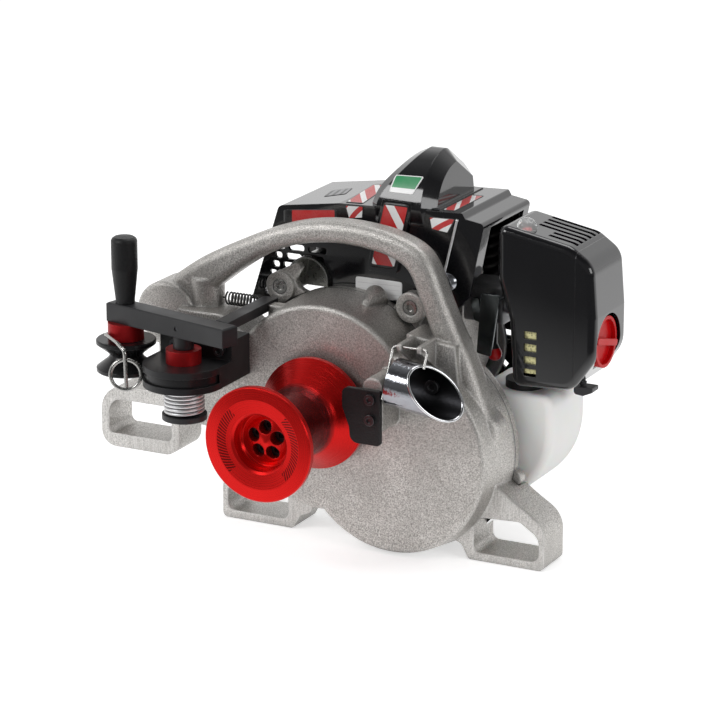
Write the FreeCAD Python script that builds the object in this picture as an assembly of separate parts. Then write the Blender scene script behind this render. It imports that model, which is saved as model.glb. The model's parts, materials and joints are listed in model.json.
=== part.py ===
import FreeCAD, Part
import math
import os
from FreeCAD import Vector

# Portable capstan winch: cast gear case with carry handle, capstan drum in front, petrol engine behind.
# Millimetres, +Z up from the ground, drum towards -Y, air filter towards +X.

# Gear train
DRUM_X = -35.0
DRUM_Z = 128.0
DRUM_MODULE = 2.0
DRUM_TEETH = 66
PINION_TEETH = 12
COUNTER_BEARING_DEG = -24.9
CLUTCH_MODULE = 1.5
COUNTER_TEETH = 80
CLUTCH_TEETH = 12
CRANK_BEARING_DEG = 104.9
PRESSURE_DEG = 20.0
TOOTH_THINNING = 0.25
WHEEL_ADDENDUM = 0.7
DEDENDUM = 1.25

# Gear case
FACE_Y = -11.0
JOINT_Y = 40.0
CASE_R = 96.0
CASE_DRAFT = 4.0
DISC_R = 92.5
DISC_DRAFT = 7.5
CASE_WALL = 8.0
FACE_WALL = 7.0
RIM_ROUND = 4.0
CASE_CLEAR_Z = 1.5
HUB_R = 36.0
HUB_LENGTH = 6.0
GASKET = 0.8
REAR_WALL = 9.2
REAR_BOSS = 16.0
LUG_R = 14.0
LUG_FORWARD = 8.0
LUG_BACK = 3.5
LUG_CIRCLE_R = CASE_R + 19.0
LUG_LEFT_DEG = 124.0
LUG_RIGHT_DEG = 53.5
LUG_LOW_DEG = -13.0
LUG_BOLT_R = 4.0
LUG_POCKET_R = 7.2
LUG_POCKET_DEPTH = 4.0

# Side of the case, which the strap loop, the barrel and the tensioner follow
SIDE_X = DRUM_X - CASE_R
CROWN_Z = DRUM_Z + CASE_R
ARM_LEFT_X = SIDE_X + 19.0
ARM_WIDTH = 14.0
ARM_CLEARANCE = 0.3
ARM_OFFSET = DRUM_X - ARM_LEFT_X - ARM_WIDTH
ARM_LOW_Z = DRUM_Z + math.sqrt((CASE_R + CASE_DRAFT) ** 2 - ARM_OFFSET ** 2) + ARM_CLEARANCE
LEVER_LOW_Z = ARM_LOW_Z - 9.0
LEVER_HIGH_Z = LEVER_LOW_Z + 17.5

# Feet, strap loop and carry handle
FOOT_FRONT_Y = 12.0
FOOT_DEPTH = 42.0
FOOT_WIDTH = 74.0
FOOT_BAR = 7.5
FOOT_SIDE_BAR = 5.0
FOOT_RIGHT_X = 177.5
FOOT_LEFT_X = SIDE_X - 18.5
FOOT_HOLE_TOP = 43.0
LOOP_LEFT_X = SIDE_X - 149.0
LOOP_RIGHT_X = SIDE_X - 65.0
LOOP_LOW_Z = 51.0
LOOP_HIGH_Z = 111.0
LOOP_BAR = 8.0
LOOP_LOW_BAR = 13.0
LOOP_ROUND = 15.0
EAR_LEFT_X = SIDE_X - 55.0
EAR_LOW_Z = 95.0
EAR_TOP_Z = LEVER_LOW_Z + 6.0
SPRING_SEAT_X = SIDE_X - 20.0
SPRING_SEAT_R = 16.0
BARREL_X = SIDE_X - 71.0
BARREL_Z = LEVER_LOW_Z - 5.0
BARREL_R = 30.5
BARREL_FRONT_Y = 0.0
BARREL_LENGTH = 42.0
HANDLE_Y = 20.0
HANDLE_DEPTH = 29.0
HANDLE_ROUND = 8.5

# Bearings and shafts
DRUM_SHAFT_R = 12.5
DRUM_BEARING_R = 23.5
COUNTER_SHAFT_R = 8.5
COUNTER_BEARING_R = 20.0
CLUTCH_SHAFT_R = 7.5
CLUTCH_BEARING_R = 17.5
BEARING_WIDTH = 11.0
RUNNING = 0.05
END_PLAY = 0.4
DRUM_GEAR_Y = 6.0
DRUM_GEAR_WIDTH = 16.0
COUNTER_GEAR_Y = 26.0
COUNTER_GEAR_WIDTH = 10.0

# Capstan drum
DRUM_FRONT_Y = -128.0
DRUM_BACK_Y = -20.0
FLANGE_R = 52.5
REAR_FLANGE_R = 51.6
RIM_WIDTH = 7.0
CORE_R = 29.0
CORE_SHOULDER_R = 33.5
DRUM_RECESS_R = 26.0
DRUM_RECESS_DEPTH = 18.0
DISH_R = 41.0
DISH_DEPTH = 3.0
DOME_R = 21.0
DOME_RISE = 5.0
DRUM_WEB = 14.0
DRUM_BORE_R = 22.0
SHAFT_FLANGE_R = 20.0
SHAFT_FLANGE_LENGTH = 12.0
DRUM_SCREWS = 5
DRUM_SCREW_CIRCLE_R = 12.2
DRUM_SCREW_POCKET_R = 6.3
DRUM_SCREW_POCKET_DEPTH = 10.0
DRUM_SCREW_HEAD = 5.0
DRUM_SCREW_R = 3.0

# Rope stripper plate and rope guide tube
PAD_X = 35.5
PAD_WIDTH = 19.0
PAD_LOW_Z = 124.0
PAD_HIGH_Z = 176.0
PLATE_Y = -45.0
PLATE_THICK = 4.5
PLATE_LEFT_X = 7.5
PLATE_RIGHT_X = 45.0
PLATE_LOW_Z = 115.5
PLATE_HIGH_Z = 166.0
PLATE_SCREW_HIGH_Z = 158.0
PLATE_SCREW_LOW_Z = 139.0
PLATE_SCREW_R = 3.0
GUIDE_X = 51.0
GUIDE_Z = 172.0
GUIDE_R = 22.0
GUIDE_WALL = 2.2
GUIDE_TILT_DEG = 7.5
GUIDE_LENGTH = 85.0
GUIDE_CUT_X = 72.0
GUIDE_CUT_NORMAL = (0.77, -0.41, 0.49)
GUIDE_BOLT_X = 79.0
GUIDE_BOLT_Z = 166.0
GUIDE_BOLT_HEAD_R = 6.5
GUIDE_SPOT_DEPTH = 0.6
LATCH_WIRE_R = 1.25
LATCH_LEFT_X = 47.0
LATCH_RIGHT_X = 80.5
LATCH_Y = -27.0
LATCH_Z = 203.0
LATCH_LEAN_DEG = 26.5
LATCH_LONG_LEG = 49.0
LATCH_SHORT_LEG = 17.0
LATCH_EYE = 4.0

# Rope tail tensioner
AXLE_X = SIDE_X - 13.0
AXLE_Y = -66.0
AXLE_R = 8.0
AXLE_COLLAR_R = 9.5
BLOCK_R = 37.0
BLOCK_LOW_Z = LEVER_LOW_Z - 45.5
BLOCK_HIGH_Z = LEVER_LOW_Z - 25.0
BLOCK_PLATE = 6.0
BLOCK_RAIL_Y = -44.0
BLOCK_RAIL_HIGH_Z = LEVER_LOW_Z - 7.0
ROLLER_R = 34.5
BUSH_R = 16.0
BUSH_HEIGHT = 13.0
LEVER_TURN_DEG = 12.5
LEVER_SWING_DEG = 9.0
LEVER_LEFT = 85.5
LEVER_RIGHT = 56.0
LEVER_WIDTH = 20.0
PULLEY_REACH = 71.0
PULLEY_R = 27.5
PULLEY_GROOVE_R = 15.0
PULLEY_FLANGE = 4.0
PULLEY_LOW_Z = LEVER_LOW_Z - 46.5
PULLEY_HIGH_Z = LEVER_LOW_Z - 16.0
PULLEY_AXLE_R = 6.0
PULLEY_BUSH_R = 16.5
GRIP_R = 12.0
GRIP_NECK_R = 8.8
GRIP_HIGH_Z = LEVER_HIGH_Z + 62.5
GRIP_TAPER_Z = LEVER_HIGH_Z + 32.5
GRIP_BOLT_R = 4.0
GRIP_BOLT_DROP = 16.0
GRIP_BOLT_HEAD = 6.0
ARM_END_Y = 27.0
ARM_STOP_Y = 8.0
ARM_STOP_LENGTH = 12.0
PRESSURE_SPRING_R = 17.0
PRESSURE_WIRE = 3.1
PRESSURE_TURNS = 6.5
PRESSURE_PITCH = 3.6
SPRING_WASHER_R = 20.5
SPRING_WASHER = 5.0
RETURN_SPRING_R = 5.5
RETURN_WIRE = 1.7
RETURN_TURNS = 9
RETURN_SPRING_Y = 19.0
RETURN_SPRING_Z = (ARM_LOW_Z + LEVER_HIGH_Z) / 2
SPRING_LEAD = 3.2
CLIP_WIRE = 3.6
CLIP_RING_R = 13.8
FIT_GAP = 0.3

# Engine
BELL_R = 47.0
BELL_WALL = 4.0
BELL_BACK_Y = 92.0
CLUTCH_DRUM_R = 38.0
CLUTCH_DRUM_WALL = 3.0
CLUTCH_WEB_Y = 61.0
CLUTCH_BACK_Y = 84.0
SHOE_R = 34.0
SHOE_CORE_R = 20.0
CRANK_R = 8.5
CRANKCASE_R = 46.0
CRANKCASE_BACK_Y = 140.0
CRANK_WEB_R = 33.0
CRANK_WEB = 10.0
CRANK_THROW = 17.0
CRANK_PIN_R = 7.0
CRANK_MID_Y = 116.0
CYLINDER_R = 30.0
BORE_R = 21.5
FIN_REACH = 40.0
FIN_COUNT = 6
FIN_THICK = 2.6
CYLINDER_LOW_Z = 210.0
CYLINDER_HEIGHT = 66.0
CYLINDER_HIGH_Z = CYLINDER_LOW_Z + CYLINDER_HEIGHT
FIN_PITCH = (CYLINDER_HEIGHT - 9) / FIN_COUNT
PISTON_LOW_Z = 206.0
PISTON_HEIGHT = 30.0
FLYWHEEL_R = 58.0
FLYWHEEL_Y = 146.0
FLYWHEEL_WIDTH = 14.0
BLADE_COUNT = 12
STARTER_R = 72.0
STARTER_BACK_Y = 188.0
STARTER_WALL = 3.0
SHROUD_FRONT_Y = JOINT_Y + GASKET + REAR_WALL
SHROUD_BACK_Y = 149.0
STARTER_Y = SHROUD_BACK_Y
OUTLET_R = 8.0
SHROUD_WALL = 3.0
ROOF_CLEARANCE = 30.0
SHROUD_ROOF_Z = CYLINDER_HIGH_Z + ROOF_CLEARANCE
SHROUD_LEFT_X = -109.0
SHROUD_SKIRT_X = -138.0
SHROUD_SKIRT_Z = 203.0
SHROUD_SHOULDER_Z = SHROUD_ROOF_Z - 11.0
SHROUD_RIDGE_X = 76.0
SHROUD_RIGHT_X = 98.0
SHROUD_STEP = 5.0
SHROUD_SCREW_X = 63.0
SHROUD_SCREW_Z = 244.0
SHROUD_FRONT_LOW_Z = 214.0
GRILLE_PITCH = 8.8
GRILLE_ROWS = 6
HOOD_X = DRUM_X - 42.0
HOOD_R = 21.0
HOOD_TOP_Z = CROWN_Z + 27.0
HOOD_SHEET = 1.4
HUMP_LEFT_X = -17.0
HUMP_RIGHT_X = 49.0
HUMP_RISE = 48.0
HUMP_TOP_Z = SHROUD_ROOF_Z + HUMP_RISE
HUMP_PROUD = 4.0
HUMP_ROOT = 14.0
HUMP_LEAN = 4.0
HUMP_INSET = 32.0
HUMP_DEPTH = 58.0
HUMP_BEVEL = 11.0
HUMP_EDGE = 7.0
HUMP_LEDGE = 3.0
BAND_LEFT_X = -1.0
BAND_WIDTH = 30.0
BAND_LOW_Z = SHROUD_ROOF_Z - 60.0
BAND_LEAN = 0.24

# Air filter, carburettor and fuel tank
FILTER_LEFT_X = 110.0
FILTER_SPLIT_X = 186.0
FILTER_RIGHT_X = 206.0
FILTER_FRONT_Y = 50.0
FILTER_BACK_Y = 122.0
FILTER_LOW_Z = 155.0
FILTER_HIGH_Z = 303.0
FILTER_FALL = 13.0
FILTER_WALL = 3.0
FILTER_ROUND = 7.0
KNOB_R = 23.5
KNOB_Y = 82.0
KNOB_Z = 199.0
KNOB_RIM = 7.0
KNOB_RECESS = 9.5
KNOB_STUD_R = 5.0
KNOB_TURN_DEG = 15.0
LOUVRES = 6
LOUVRE_PITCH = 9.5
PRIMER_X = 132.0
PRIMER_Y = 66.0
PRIMER_R = 9.3
CARB_Y = 92.0
CARB_Z = 222.0
THROAT_R = 12.0
TANK_LEFT_X = -58.0
TANK_RIGHT_X = 161.0
TANK_FRONT_Y = 62.0
TANK_BACK_Y = 138.0
TANK_LOW_Z = 36.0
TANK_SADDLE_Z = 122.0
TANK_HIGH_Z = 146.0
TANK_SADDLE_X = 82.0
TANK_ROUND = 78.0
TANK_CAP_X = 124.0
TANK_CAP_Y = 86.0
TANK_CAP_R = 18.0
REAR_FOOT_LEFT_X = -46.0
REAR_FOOT_RIGHT_X = 18.0
REAR_FOOT_Y = 112.0
REAR_FOOT_DEPTH = 30.0

# Worked out from the sizes above
UP = Vector(0, 0, 1)
ALONG_X = Vector(1, 0, 0)
ALONG_Y = Vector(0, 1, 0)
COUNTER_DISTANCE = DRUM_MODULE * (DRUM_TEETH + PINION_TEETH) / 2
CRANK_DISTANCE = CLUTCH_MODULE * (COUNTER_TEETH + CLUTCH_TEETH) / 2
COUNTER_X = DRUM_X + COUNTER_DISTANCE * math.cos(math.radians(COUNTER_BEARING_DEG))
COUNTER_Z = DRUM_Z + COUNTER_DISTANCE * math.sin(math.radians(COUNTER_BEARING_DEG))
CRANK_X = COUNTER_X + CRANK_DISTANCE * math.cos(math.radians(CRANK_BEARING_DEG))
CRANK_Z = COUNTER_Z + CRANK_DISTANCE * math.sin(math.radians(CRANK_BEARING_DEG))
REAR_Y = JOINT_Y + GASKET
FOOT_BACK_Y = FOOT_FRONT_Y + FOOT_DEPTH
LEVER_DIR = Vector(math.cos(math.radians(LEVER_TURN_DEG)), -math.sin(math.radians(LEVER_TURN_DEG)), 0)
PULLEY_X = AXLE_X - PULLEY_REACH * LEVER_DIR.x
PULLEY_Y = AXLE_Y - PULLEY_REACH * LEVER_DIR.y
CENTRE_X = (LOOP_LEFT_X + FILTER_RIGHT_X) / 2
CENTRE_Y = (DRUM_FRONT_Y + STARTER_BACK_Y) / 2
WEB_BACK_Y = DRUM_FRONT_Y + DRUM_RECESS_DEPTH + DRUM_WEB


def box(x0, x1, y0, y1, z0, z1):
    return Part.makeBox(x1 - x0, y1 - y0, z1 - z0, Vector(x0, y0, z0))


def rod_x(y, z, radius, x0, x1):
    return Part.makeCylinder(radius, x1 - x0, Vector(x0, y, z), ALONG_X)


def rod_y(x, z, radius, y0, y1):
    return Part.makeCylinder(radius, y1 - y0, Vector(x, y0, z), ALONG_Y)


def rod_z(x, y, radius, z0, z1):
    return Part.makeCylinder(radius, z1 - z0, Vector(x, y, z0), UP)


def ring_y(x, z, outer, inner, y0, y1):
    return rod_y(x, z, outer, y0, y1).cut(rod_y(x, z, inner, y0, y1))


def ring_z(x, y, outer, inner, z0, z1):
    return rod_z(x, y, outer, z0, z1).cut(rod_z(x, y, inner, z0, z1))


def cone_y(x, z, radius0, radius1, y0, y1):
    return Part.makeCone(radius0, radius1, y1 - y0, Vector(x, y0, z), ALONG_Y)


def on_circle(x, z, radius, degrees):
    turn = math.radians(degrees)
    return x + radius * math.cos(turn), z + radius * math.sin(turn)


def fuse(shapes):
    return shapes[0].multiFuse(shapes[1:]).removeSplitter()


def outline(corners, place):
    """Closed wire through (u, v, round) corners; place turns u, v into a point."""
    edges = []
    last = None
    first = None
    for index, (u, v, radius) in enumerate(corners):
        before = corners[index - 1]
        after = corners[(index + 1) % len(corners)]
        corner = Vector(u, v, 0)
        back = Vector(before[0] - u, before[1] - v, 0).normalize()
        ahead = Vector(after[0] - u, after[1] - v, 0).normalize()
        half = back.getAngle(ahead) / 2
        reach = radius / math.tan(half)
        start = corner + back * reach
        end = corner + ahead * reach
        if last is not None:
            edges.append(Part.makeLine(place(last.x, last.y), place(start.x, start.y)))
        if first is None:
            first = start
        if radius > 0:
            middle = (back + ahead).normalize()
            crest = corner + middle * (radius / math.sin(half) - radius)
            arc = Part.Arc(place(start.x, start.y), place(crest.x, crest.y), place(end.x, end.y))
            edges.append(arc.toShape())
        last = end
    edges.append(Part.makeLine(place(last.x, last.y), place(first.x, first.y)))
    return Part.Wire(Part.__sortEdges__(edges))


def prism_x(corners, x0, x1):
    wire = outline(corners, lambda u, v: Vector(x0, u, v))
    return Part.Face(wire).extrude(Vector(x1 - x0, 0, 0))


def prism_y(corners, y0, y1):
    wire = outline(corners, lambda u, v: Vector(u, y0, v))
    return Part.Face(wire).extrude(Vector(0, y1 - y0, 0))


def prism_z(corners, z0, z1):
    wire = outline(corners, lambda u, v: Vector(u, v, z0))
    return Part.Face(wire).extrude(Vector(0, 0, z1 - z0))


def rectangle(u0, u1, v0, v1, radius):
    return [(u0, v0, radius), (u1, v0, radius), (u1, v1, radius), (u0, v1, radius)]


def turned_y(profile, x, z):
    """Solid of revolution about the line along Y through x, z, from (radius, y) points."""
    points = [Vector(x + radius, y, z) for radius, y in profile]
    wire = Part.makePolygon(points + points[:1])
    return Part.Face(wire).revolve(Vector(x, 0, z), ALONG_Y, 360)


def turned_z(profile, x, y):
    """Solid of revolution about the upright line through x, y, from (radius, z) points."""
    points = [Vector(x + radius, y, z) for radius, z in profile]
    wire = Part.makePolygon(points + points[:1])
    return Part.Face(wire).revolve(Vector(x, y, 0), UP, 360)


def rounded_edges(shape, radius, chosen):
    return shape.makeFillet(radius, [edge for edge in shape.Edges if chosen(edge)])


def gear(x, z, module, teeth, addendum, y0, y1, tooth_deg):
    """Spur gear along Y with involute flanks; one tooth points along tooth_deg."""
    pitch_r = module * teeth / 2
    base_r = pitch_r * math.cos(math.radians(PRESSURE_DEG))
    root_r = pitch_r - DEDENDUM * module
    tip_r = pitch_r + addendum * module
    start_r = max(base_r, root_r)
    half_pitch = math.pi / (2 * teeth) - TOOTH_THINNING / (2 * pitch_r)

    def involute(radius):
        slope = math.sqrt(max(radius * radius - base_r * base_r, 0)) / base_r
        return slope - math.atan(slope)

    radii = [start_r, (start_r + pitch_r) / 2, pitch_r, tip_r]
    flank = [(radius, half_pitch + involute(pitch_r) - involute(radius)) for radius in radii]
    flank.insert(0, (root_r, flank[0][1]))
    points = []
    for tooth in range(teeth):
        middle = math.radians(tooth_deg) + 2 * math.pi * tooth / teeth
        for radius, half in flank:
            points.append(on_circle(x, z, radius, math.degrees(middle - half)))
        for radius, half in reversed(flank):
            points.append(on_circle(x, z, radius, math.degrees(middle + half)))
    loop = [Vector(u, y0, v) for u, v in points]
    return Part.Face(Part.makePolygon(loop + loop[:1])).extrude(Vector(0, y1 - y0, 0))


def arc_middle(start, heading, end):
    """Middle point of the arc that leaves start along heading and reaches end."""
    chord = end - start
    along = Vector(chord).normalize()
    turn = heading.getAngle(along)
    side = (heading - along * heading.dot(along)).normalize()
    return start + chord * 0.5 + side * (chord.Length / 2 * math.tan(turn / 2))


def biarc(start, start_heading, end, end_heading):
    """Two tangent arcs between two points with given headings."""
    chord = end - start
    both = start_heading + end_heading
    spread = 2 * (1 - start_heading.dot(end_heading))
    along = chord.dot(both)
    reach = (math.sqrt(along * along + spread * chord.dot(chord)) - along) / spread
    knot = (start + end + (start_heading - end_heading) * reach) * 0.5
    first = Part.Arc(start, arc_middle(start, start_heading, knot), knot)
    second = Part.Arc(knot, arc_middle(end, end_heading * -1, knot), end)
    return [first.toShape(), second.toShape()]


def tube_along(edges, radius, heading):
    """Round bar that follows joined edges, starting along heading."""
    path = Part.Wire(edges)
    start = path.OrderedVertexes[0].Point
    section = Part.Wire([Part.makeCircle(radius, start, heading)])
    shell = Part.BRepOffsetAPI.MakePipeShell(path)
    shell.add(section)
    shell.build()
    shell.makeSolid()
    return shell.shape()


def helix_point(centre, axis, side, radius, pitch, turn):
    other = axis.cross(side)
    angle = 2 * math.pi * turn
    spoke = side * math.cos(angle) + other * math.sin(angle)
    heading = (other * math.cos(angle) - side * math.sin(angle)) * (2 * math.pi * radius) + axis * pitch
    return centre + axis * (pitch * turn) + spoke * radius, heading.normalize()


def self_gap(points, wire):
    """Least gap of a wound wire to itself, over points at least a third of a turn apart."""
    least = None
    for index, point in enumerate(points):
        for other in points[index + 8:]:
            distance = point.distanceToPoint(other) - wire
            least = distance if least is None else min(least, distance)
    return least


def coil(name, centre, axis, side, radius, wire, turns, pitch):
    """Helix edges in quarter turns, with the points used to report the gap between turns."""
    quarters = int(round(turns * 4))
    stops = [helix_point(centre, axis, side, radius, pitch, step / 4) for step in range(quarters + 1)]
    edges = []
    for before, after in zip(stops, stops[1:]):
        edges += biarc(before[0], before[1], after[0], after[1])
    fine = [helix_point(centre, axis, side, radius, pitch,
                        step / 24)[0] for step in range(quarters * 6 + 1)]
    gap = self_gap(fine, wire)
    print(name, "turns", turns, "least gap", round(gap, 2))
    return edges, stops


def handle_section(x, z, degrees, thick):
    """Rounded rectangle across the handle; degrees is the handle's heading in the XZ plane."""
    turn = math.radians(degrees)
    across = Vector(-math.sin(turn), 0, math.cos(turn))
    middle = Vector(x, HANDLE_Y, z)
    corners = rectangle(-thick / 2, thick / 2, -HANDLE_DEPTH / 2, HANDLE_DEPTH / 2, HANDLE_ROUND)
    return outline(corners, lambda u, v: middle + across * u + ALONG_Y * v)


def carry_handle():
    """Arched handle from the barrel over the case and down into its right flank."""
    stations = [(BARREL_X + 16, BARREL_Z + 22, 44, 36), (BARREL_X + 39, BARREL_Z + 41, 36, 31),
                (BARREL_X + 70, BARREL_Z + 61, 31, 25), (DRUM_X - 58, CROWN_Z + 49.5, 24, 20),
                (DRUM_X - 5, CROWN_Z + 63, 7, 20), (DRUM_X + 37, CROWN_Z + 62.5, -7, 20.5),
                (DRUM_X + 65, CROWN_Z + 57, -16, 21.5), (DRUM_X + 85, CROWN_Z + 46, -42, 24),
                (DRUM_X + 97, CROWN_Z + 24, -65, 24), (DRUM_X + 115, CROWN_Z - 18, -67, 25),
                (DRUM_X + 132, CROWN_Z - 56, -66, 27), (DRUM_X + 146, CROWN_Z - 90, -70, 28),
                (DRUM_X + 153, CROWN_Z - 116, -78, 26)]
    return Part.makeLoft([handle_section(*station) for station in stations], True, False)


def foot(outer, side):
    """Cast foot with a strap slot; side is +1 for a foot that points to +X."""
    inner = outer - side * FOOT_WIDTH
    body = [(inner, 0, 4), (outer, 0, 5), (outer, 42, 24), (outer - side * 27, 59, 14),
            (outer - side * 68, 88, 0), (outer - side * 104, 60, 0), (outer - side * 92, 18, 6),
            (inner - side * 7, 13, 6)]
    low = FOOT_BAR
    slot = [(inner + side * FOOT_SIDE_BAR, low, 7), (outer - side * FOOT_SIDE_BAR, low, 8),
            (outer - side * FOOT_SIDE_BAR, low + 23, 13), (outer - side * 24, FOOT_HOLE_TOP, 8),
            (inner + side * FOOT_SIDE_BAR, FOOT_HOLE_TOP - 2, 9)]
    return (prism_y(body, FOOT_FRONT_Y, FOOT_BACK_Y), prism_y(slot, FOOT_FRONT_Y - 1, FOOT_BACK_Y + 1))


def strap_loop():
    """Cast loop at the left end, with the slot that goes through it."""
    body = [(LOOP_LEFT_X, LOOP_LOW_Z, LOOP_ROUND), (LOOP_RIGHT_X, LOOP_LOW_Z, LOOP_ROUND),
            (LOOP_RIGHT_X, LOOP_HIGH_Z - 18, 0), (EAR_LEFT_X + 20, EAR_LOW_Z, 0),
            (EAR_LEFT_X + 20, LOOP_HIGH_Z + 20, 0), (BARREL_X - 8, LOOP_HIGH_Z + 20, 0),
            (BARREL_X - 14, LOOP_HIGH_Z, 8), (LOOP_LEFT_X, LOOP_HIGH_Z, LOOP_ROUND + 10)]
    slot = [(LOOP_LEFT_X + LOOP_BAR, LOOP_LOW_Z + LOOP_LOW_BAR, 6),
            (LOOP_RIGHT_X - LOOP_BAR, LOOP_LOW_Z + LOOP_LOW_BAR, 6),
            (LOOP_RIGHT_X - LOOP_BAR, LOOP_HIGH_Z - LOOP_LOW_BAR, 8),
            (LOOP_LEFT_X + LOOP_BAR, LOOP_HIGH_Z - LOOP_LOW_BAR, 14)]
    return (prism_y(body, FOOT_FRONT_Y, FOOT_BACK_Y), prism_y(slot, FOOT_FRONT_Y - 1, FOOT_BACK_Y + 1))


def case_ear():
    """Cast wall between the case, the barrel and the strap loop, its link and the spring's round seat."""
    corners = [(EAR_LEFT_X, EAR_LOW_Z + 4, 12), (DRUM_X - 80, EAR_LOW_Z - 6, 0),
               (DRUM_X - 60, DRUM_Z + 30, 0), (DRUM_X - 76, DRUM_Z + 60, 0), (AXLE_X + 8, EAR_TOP_Z, 4),
               (BARREL_X + 20, EAR_TOP_Z, 0), (EAR_LEFT_X, EAR_TOP_Z - 12, 0)]
    front = prism_y(corners, FACE_Y, JOINT_Y - 4)
    link = [(BARREL_X - 16, LOOP_HIGH_Z, 0), (EAR_LEFT_X + 10, LOOP_HIGH_Z, 0), (EAR_LEFT_X + 10, BARREL_Z,
                                                                                 0),
            (BARREL_X - 16, BARREL_Z, 0)]
    seat = rod_z(SPRING_SEAT_X - SPRING_SEAT_R, RETURN_SPRING_Y, SPRING_SEAT_R, EAR_TOP_Z - 10,
                 EAR_TOP_Z + 26)
    return front, prism_y(link, FOOT_FRONT_Y + 4, JOINT_Y - 2), seat


def latch_eyes():
    """Two drilled cast eyes that hold the wire latch."""
    eyes = []
    for x in (LATCH_LEFT_X + 5, LATCH_RIGHT_X - 5 - LATCH_EYE):
        eye = prism_x([(LATCH_Y - 3, LATCH_Z - 3, 2), (FACE_Y + 12, LATCH_Z - 24, 0), (FACE_Y + 12,
                                                                                       LATCH_Z + 3, 0),
                       (LATCH_Y - 3, LATCH_Z + 3, 2)], x, x + LATCH_EYE)
        eyes.append(eye.cut(rod_x(LATCH_Y, LATCH_Z, LATCH_WIRE_R + RUNNING, x - 1, x + LATCH_EYE + 1)))
    return eyes


def below_ground():
    """Space under the gear case, so that only the feet touch the ground."""
    reach = DISC_R + DISC_DRAFT
    return box(COUNTER_X - reach, COUNTER_X + reach, FACE_Y - 1, BELL_BACK_Y, CASE_CLEAR_Z - reach,
               CASE_CLEAR_Z)


def main_casting():
    case = cone_y(DRUM_X, DRUM_Z, CASE_R, CASE_R + CASE_DRAFT, FACE_Y, JOINT_Y)
    disc = cone_y(COUNTER_X, COUNTER_Z, DISC_R, DISC_R + DISC_DRAFT, FACE_Y, JOINT_Y)
    shell = fuse([case, disc])
    shell = rounded_edges(shell, RIM_ROUND, lambda e: e.BoundBox.YMax < FACE_Y + 0.01).cut(below_ground())
    right_foot, right_slot = foot(FOOT_RIGHT_X, 1)
    left_foot, left_slot = foot(FOOT_LEFT_X, -1)
    loop, loop_slot = strap_loop()
    ear, link, seat = case_ear()
    barrel = rod_y(BARREL_X, BARREL_Z, BARREL_R, BARREL_FRONT_Y, BARREL_FRONT_Y + BARREL_LENGTH)
    barrel = rounded_edges(barrel, RIM_ROUND, lambda e: e.BoundBox.YLength < 0.01)
    hub = cone_y(DRUM_X, DRUM_Z, HUB_R, HUB_R + 6, FACE_Y - HUB_LENGTH, FACE_Y + 1)
    pad = prism_y(rectangle(PAD_X - PAD_WIDTH / 2, PAD_X + PAD_WIDTH / 2, PAD_LOW_Z, PAD_HIGH_Z, 8),
                  PLATE_Y, FACE_Y + 1)
    top_boss = cone_y(*on_circle(DRUM_X, DRUM_Z, CASE_R + 4, 72), 3, 12, FACE_Y + 30, JOINT_Y)
    latch_web = prism_y([(LATCH_LEFT_X, LATCH_Z - 40, 0), (LATCH_RIGHT_X + 20, LATCH_Z - 60, 0),
                         (LATCH_RIGHT_X + 14, LATCH_Z - 2, 0), (LATCH_LEFT_X, LATCH_Z + 4, 0)], FACE_Y + 10,
                         JOINT_Y - 6)
    arm_stop = box(ARM_LEFT_X + ARM_WIDTH + FIT_GAP, DRUM_X - 40, ARM_STOP_Y, ARM_STOP_Y + ARM_STOP_LENGTH,
                   DRUM_Z + 60, LEVER_HIGH_Z - 2)
    limbs = [carry_handle(), right_foot, left_foot, loop, ear, link, seat, barrel]
    solid = fuse([shell, hub, pad, top_boss, latch_web, arm_stop] + limbs + latch_eyes())
    rear_room = fuse([rod_y(DRUM_X, DRUM_Z, CASE_R + CASE_DRAFT + 1, JOINT_Y, FOOT_BACK_Y + 1),
                      rod_y(COUNTER_X, COUNTER_Z, DISC_R + DISC_DRAFT + 1, JOINT_Y, FOOT_BACK_Y + 1),
                      rod_y(*low_lug_place(), LUG_R / 2 + 1, JOINT_Y, FOOT_BACK_Y + 1)])
    cavity = fuse([rod_y(DRUM_X, DRUM_Z, CASE_R - CASE_WALL, FACE_Y + FACE_WALL, JOINT_Y + 1),
                   rod_y(COUNTER_X, COUNTER_Z, DISC_R - CASE_WALL, FACE_Y + FACE_WALL, JOINT_Y + 1)])
    solid = solid.cut(rear_room).cut(cavity).cut(right_slot).cut(left_slot).cut(loop_slot)
    boss_end = FACE_Y + BEARING_WIDTH + 3
    bosses = [rod_y(DRUM_X, DRUM_Z, DRUM_BEARING_R + 7, FACE_Y + 3, boss_end),
              rod_y(COUNTER_X, COUNTER_Z, COUNTER_BEARING_R + 6, FACE_Y + 3, boss_end)]
    solid = fuse([solid] + bosses)
    bores = [rod_y(DRUM_X, DRUM_Z, DRUM_BEARING_R, FACE_Y + 3, boss_end + 1),
             rod_y(DRUM_X, DRUM_Z, SHAFT_FLANGE_R, FACE_Y - HUB_LENGTH - 1, FACE_Y + 4),
             rod_y(COUNTER_X, COUNTER_Z, COUNTER_BEARING_R, FACE_Y + 3, boss_end + 1)]
    for degrees in (LUG_LEFT_DEG, LUG_RIGHT_DEG):
        x, z = on_circle(DRUM_X, DRUM_Z, LUG_CIRCLE_R, degrees)
        bores.append(rod_y(x, z, LUG_R + 1, JOINT_Y - 16, JOINT_Y + 1))
    for z in (PLATE_SCREW_LOW_Z, PLATE_SCREW_HIGH_Z):
        bores.append(rod_y(PAD_X, z, PLATE_SCREW_R, PLATE_Y - 1, PLATE_Y + 14))
    bores.append(rod_y(GUIDE_BOLT_X, GUIDE_BOLT_Z, PLATE_SCREW_R, FACE_Y - 1, FACE_Y + 6))
    for x, z in block_screw_places():
        bores.append(rod_y(x, z, PLATE_SCREW_R, FACE_Y - 1, FACE_Y + 16))
    for bore in bores:
        solid = solid.cut(bore)
    return solid


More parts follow.
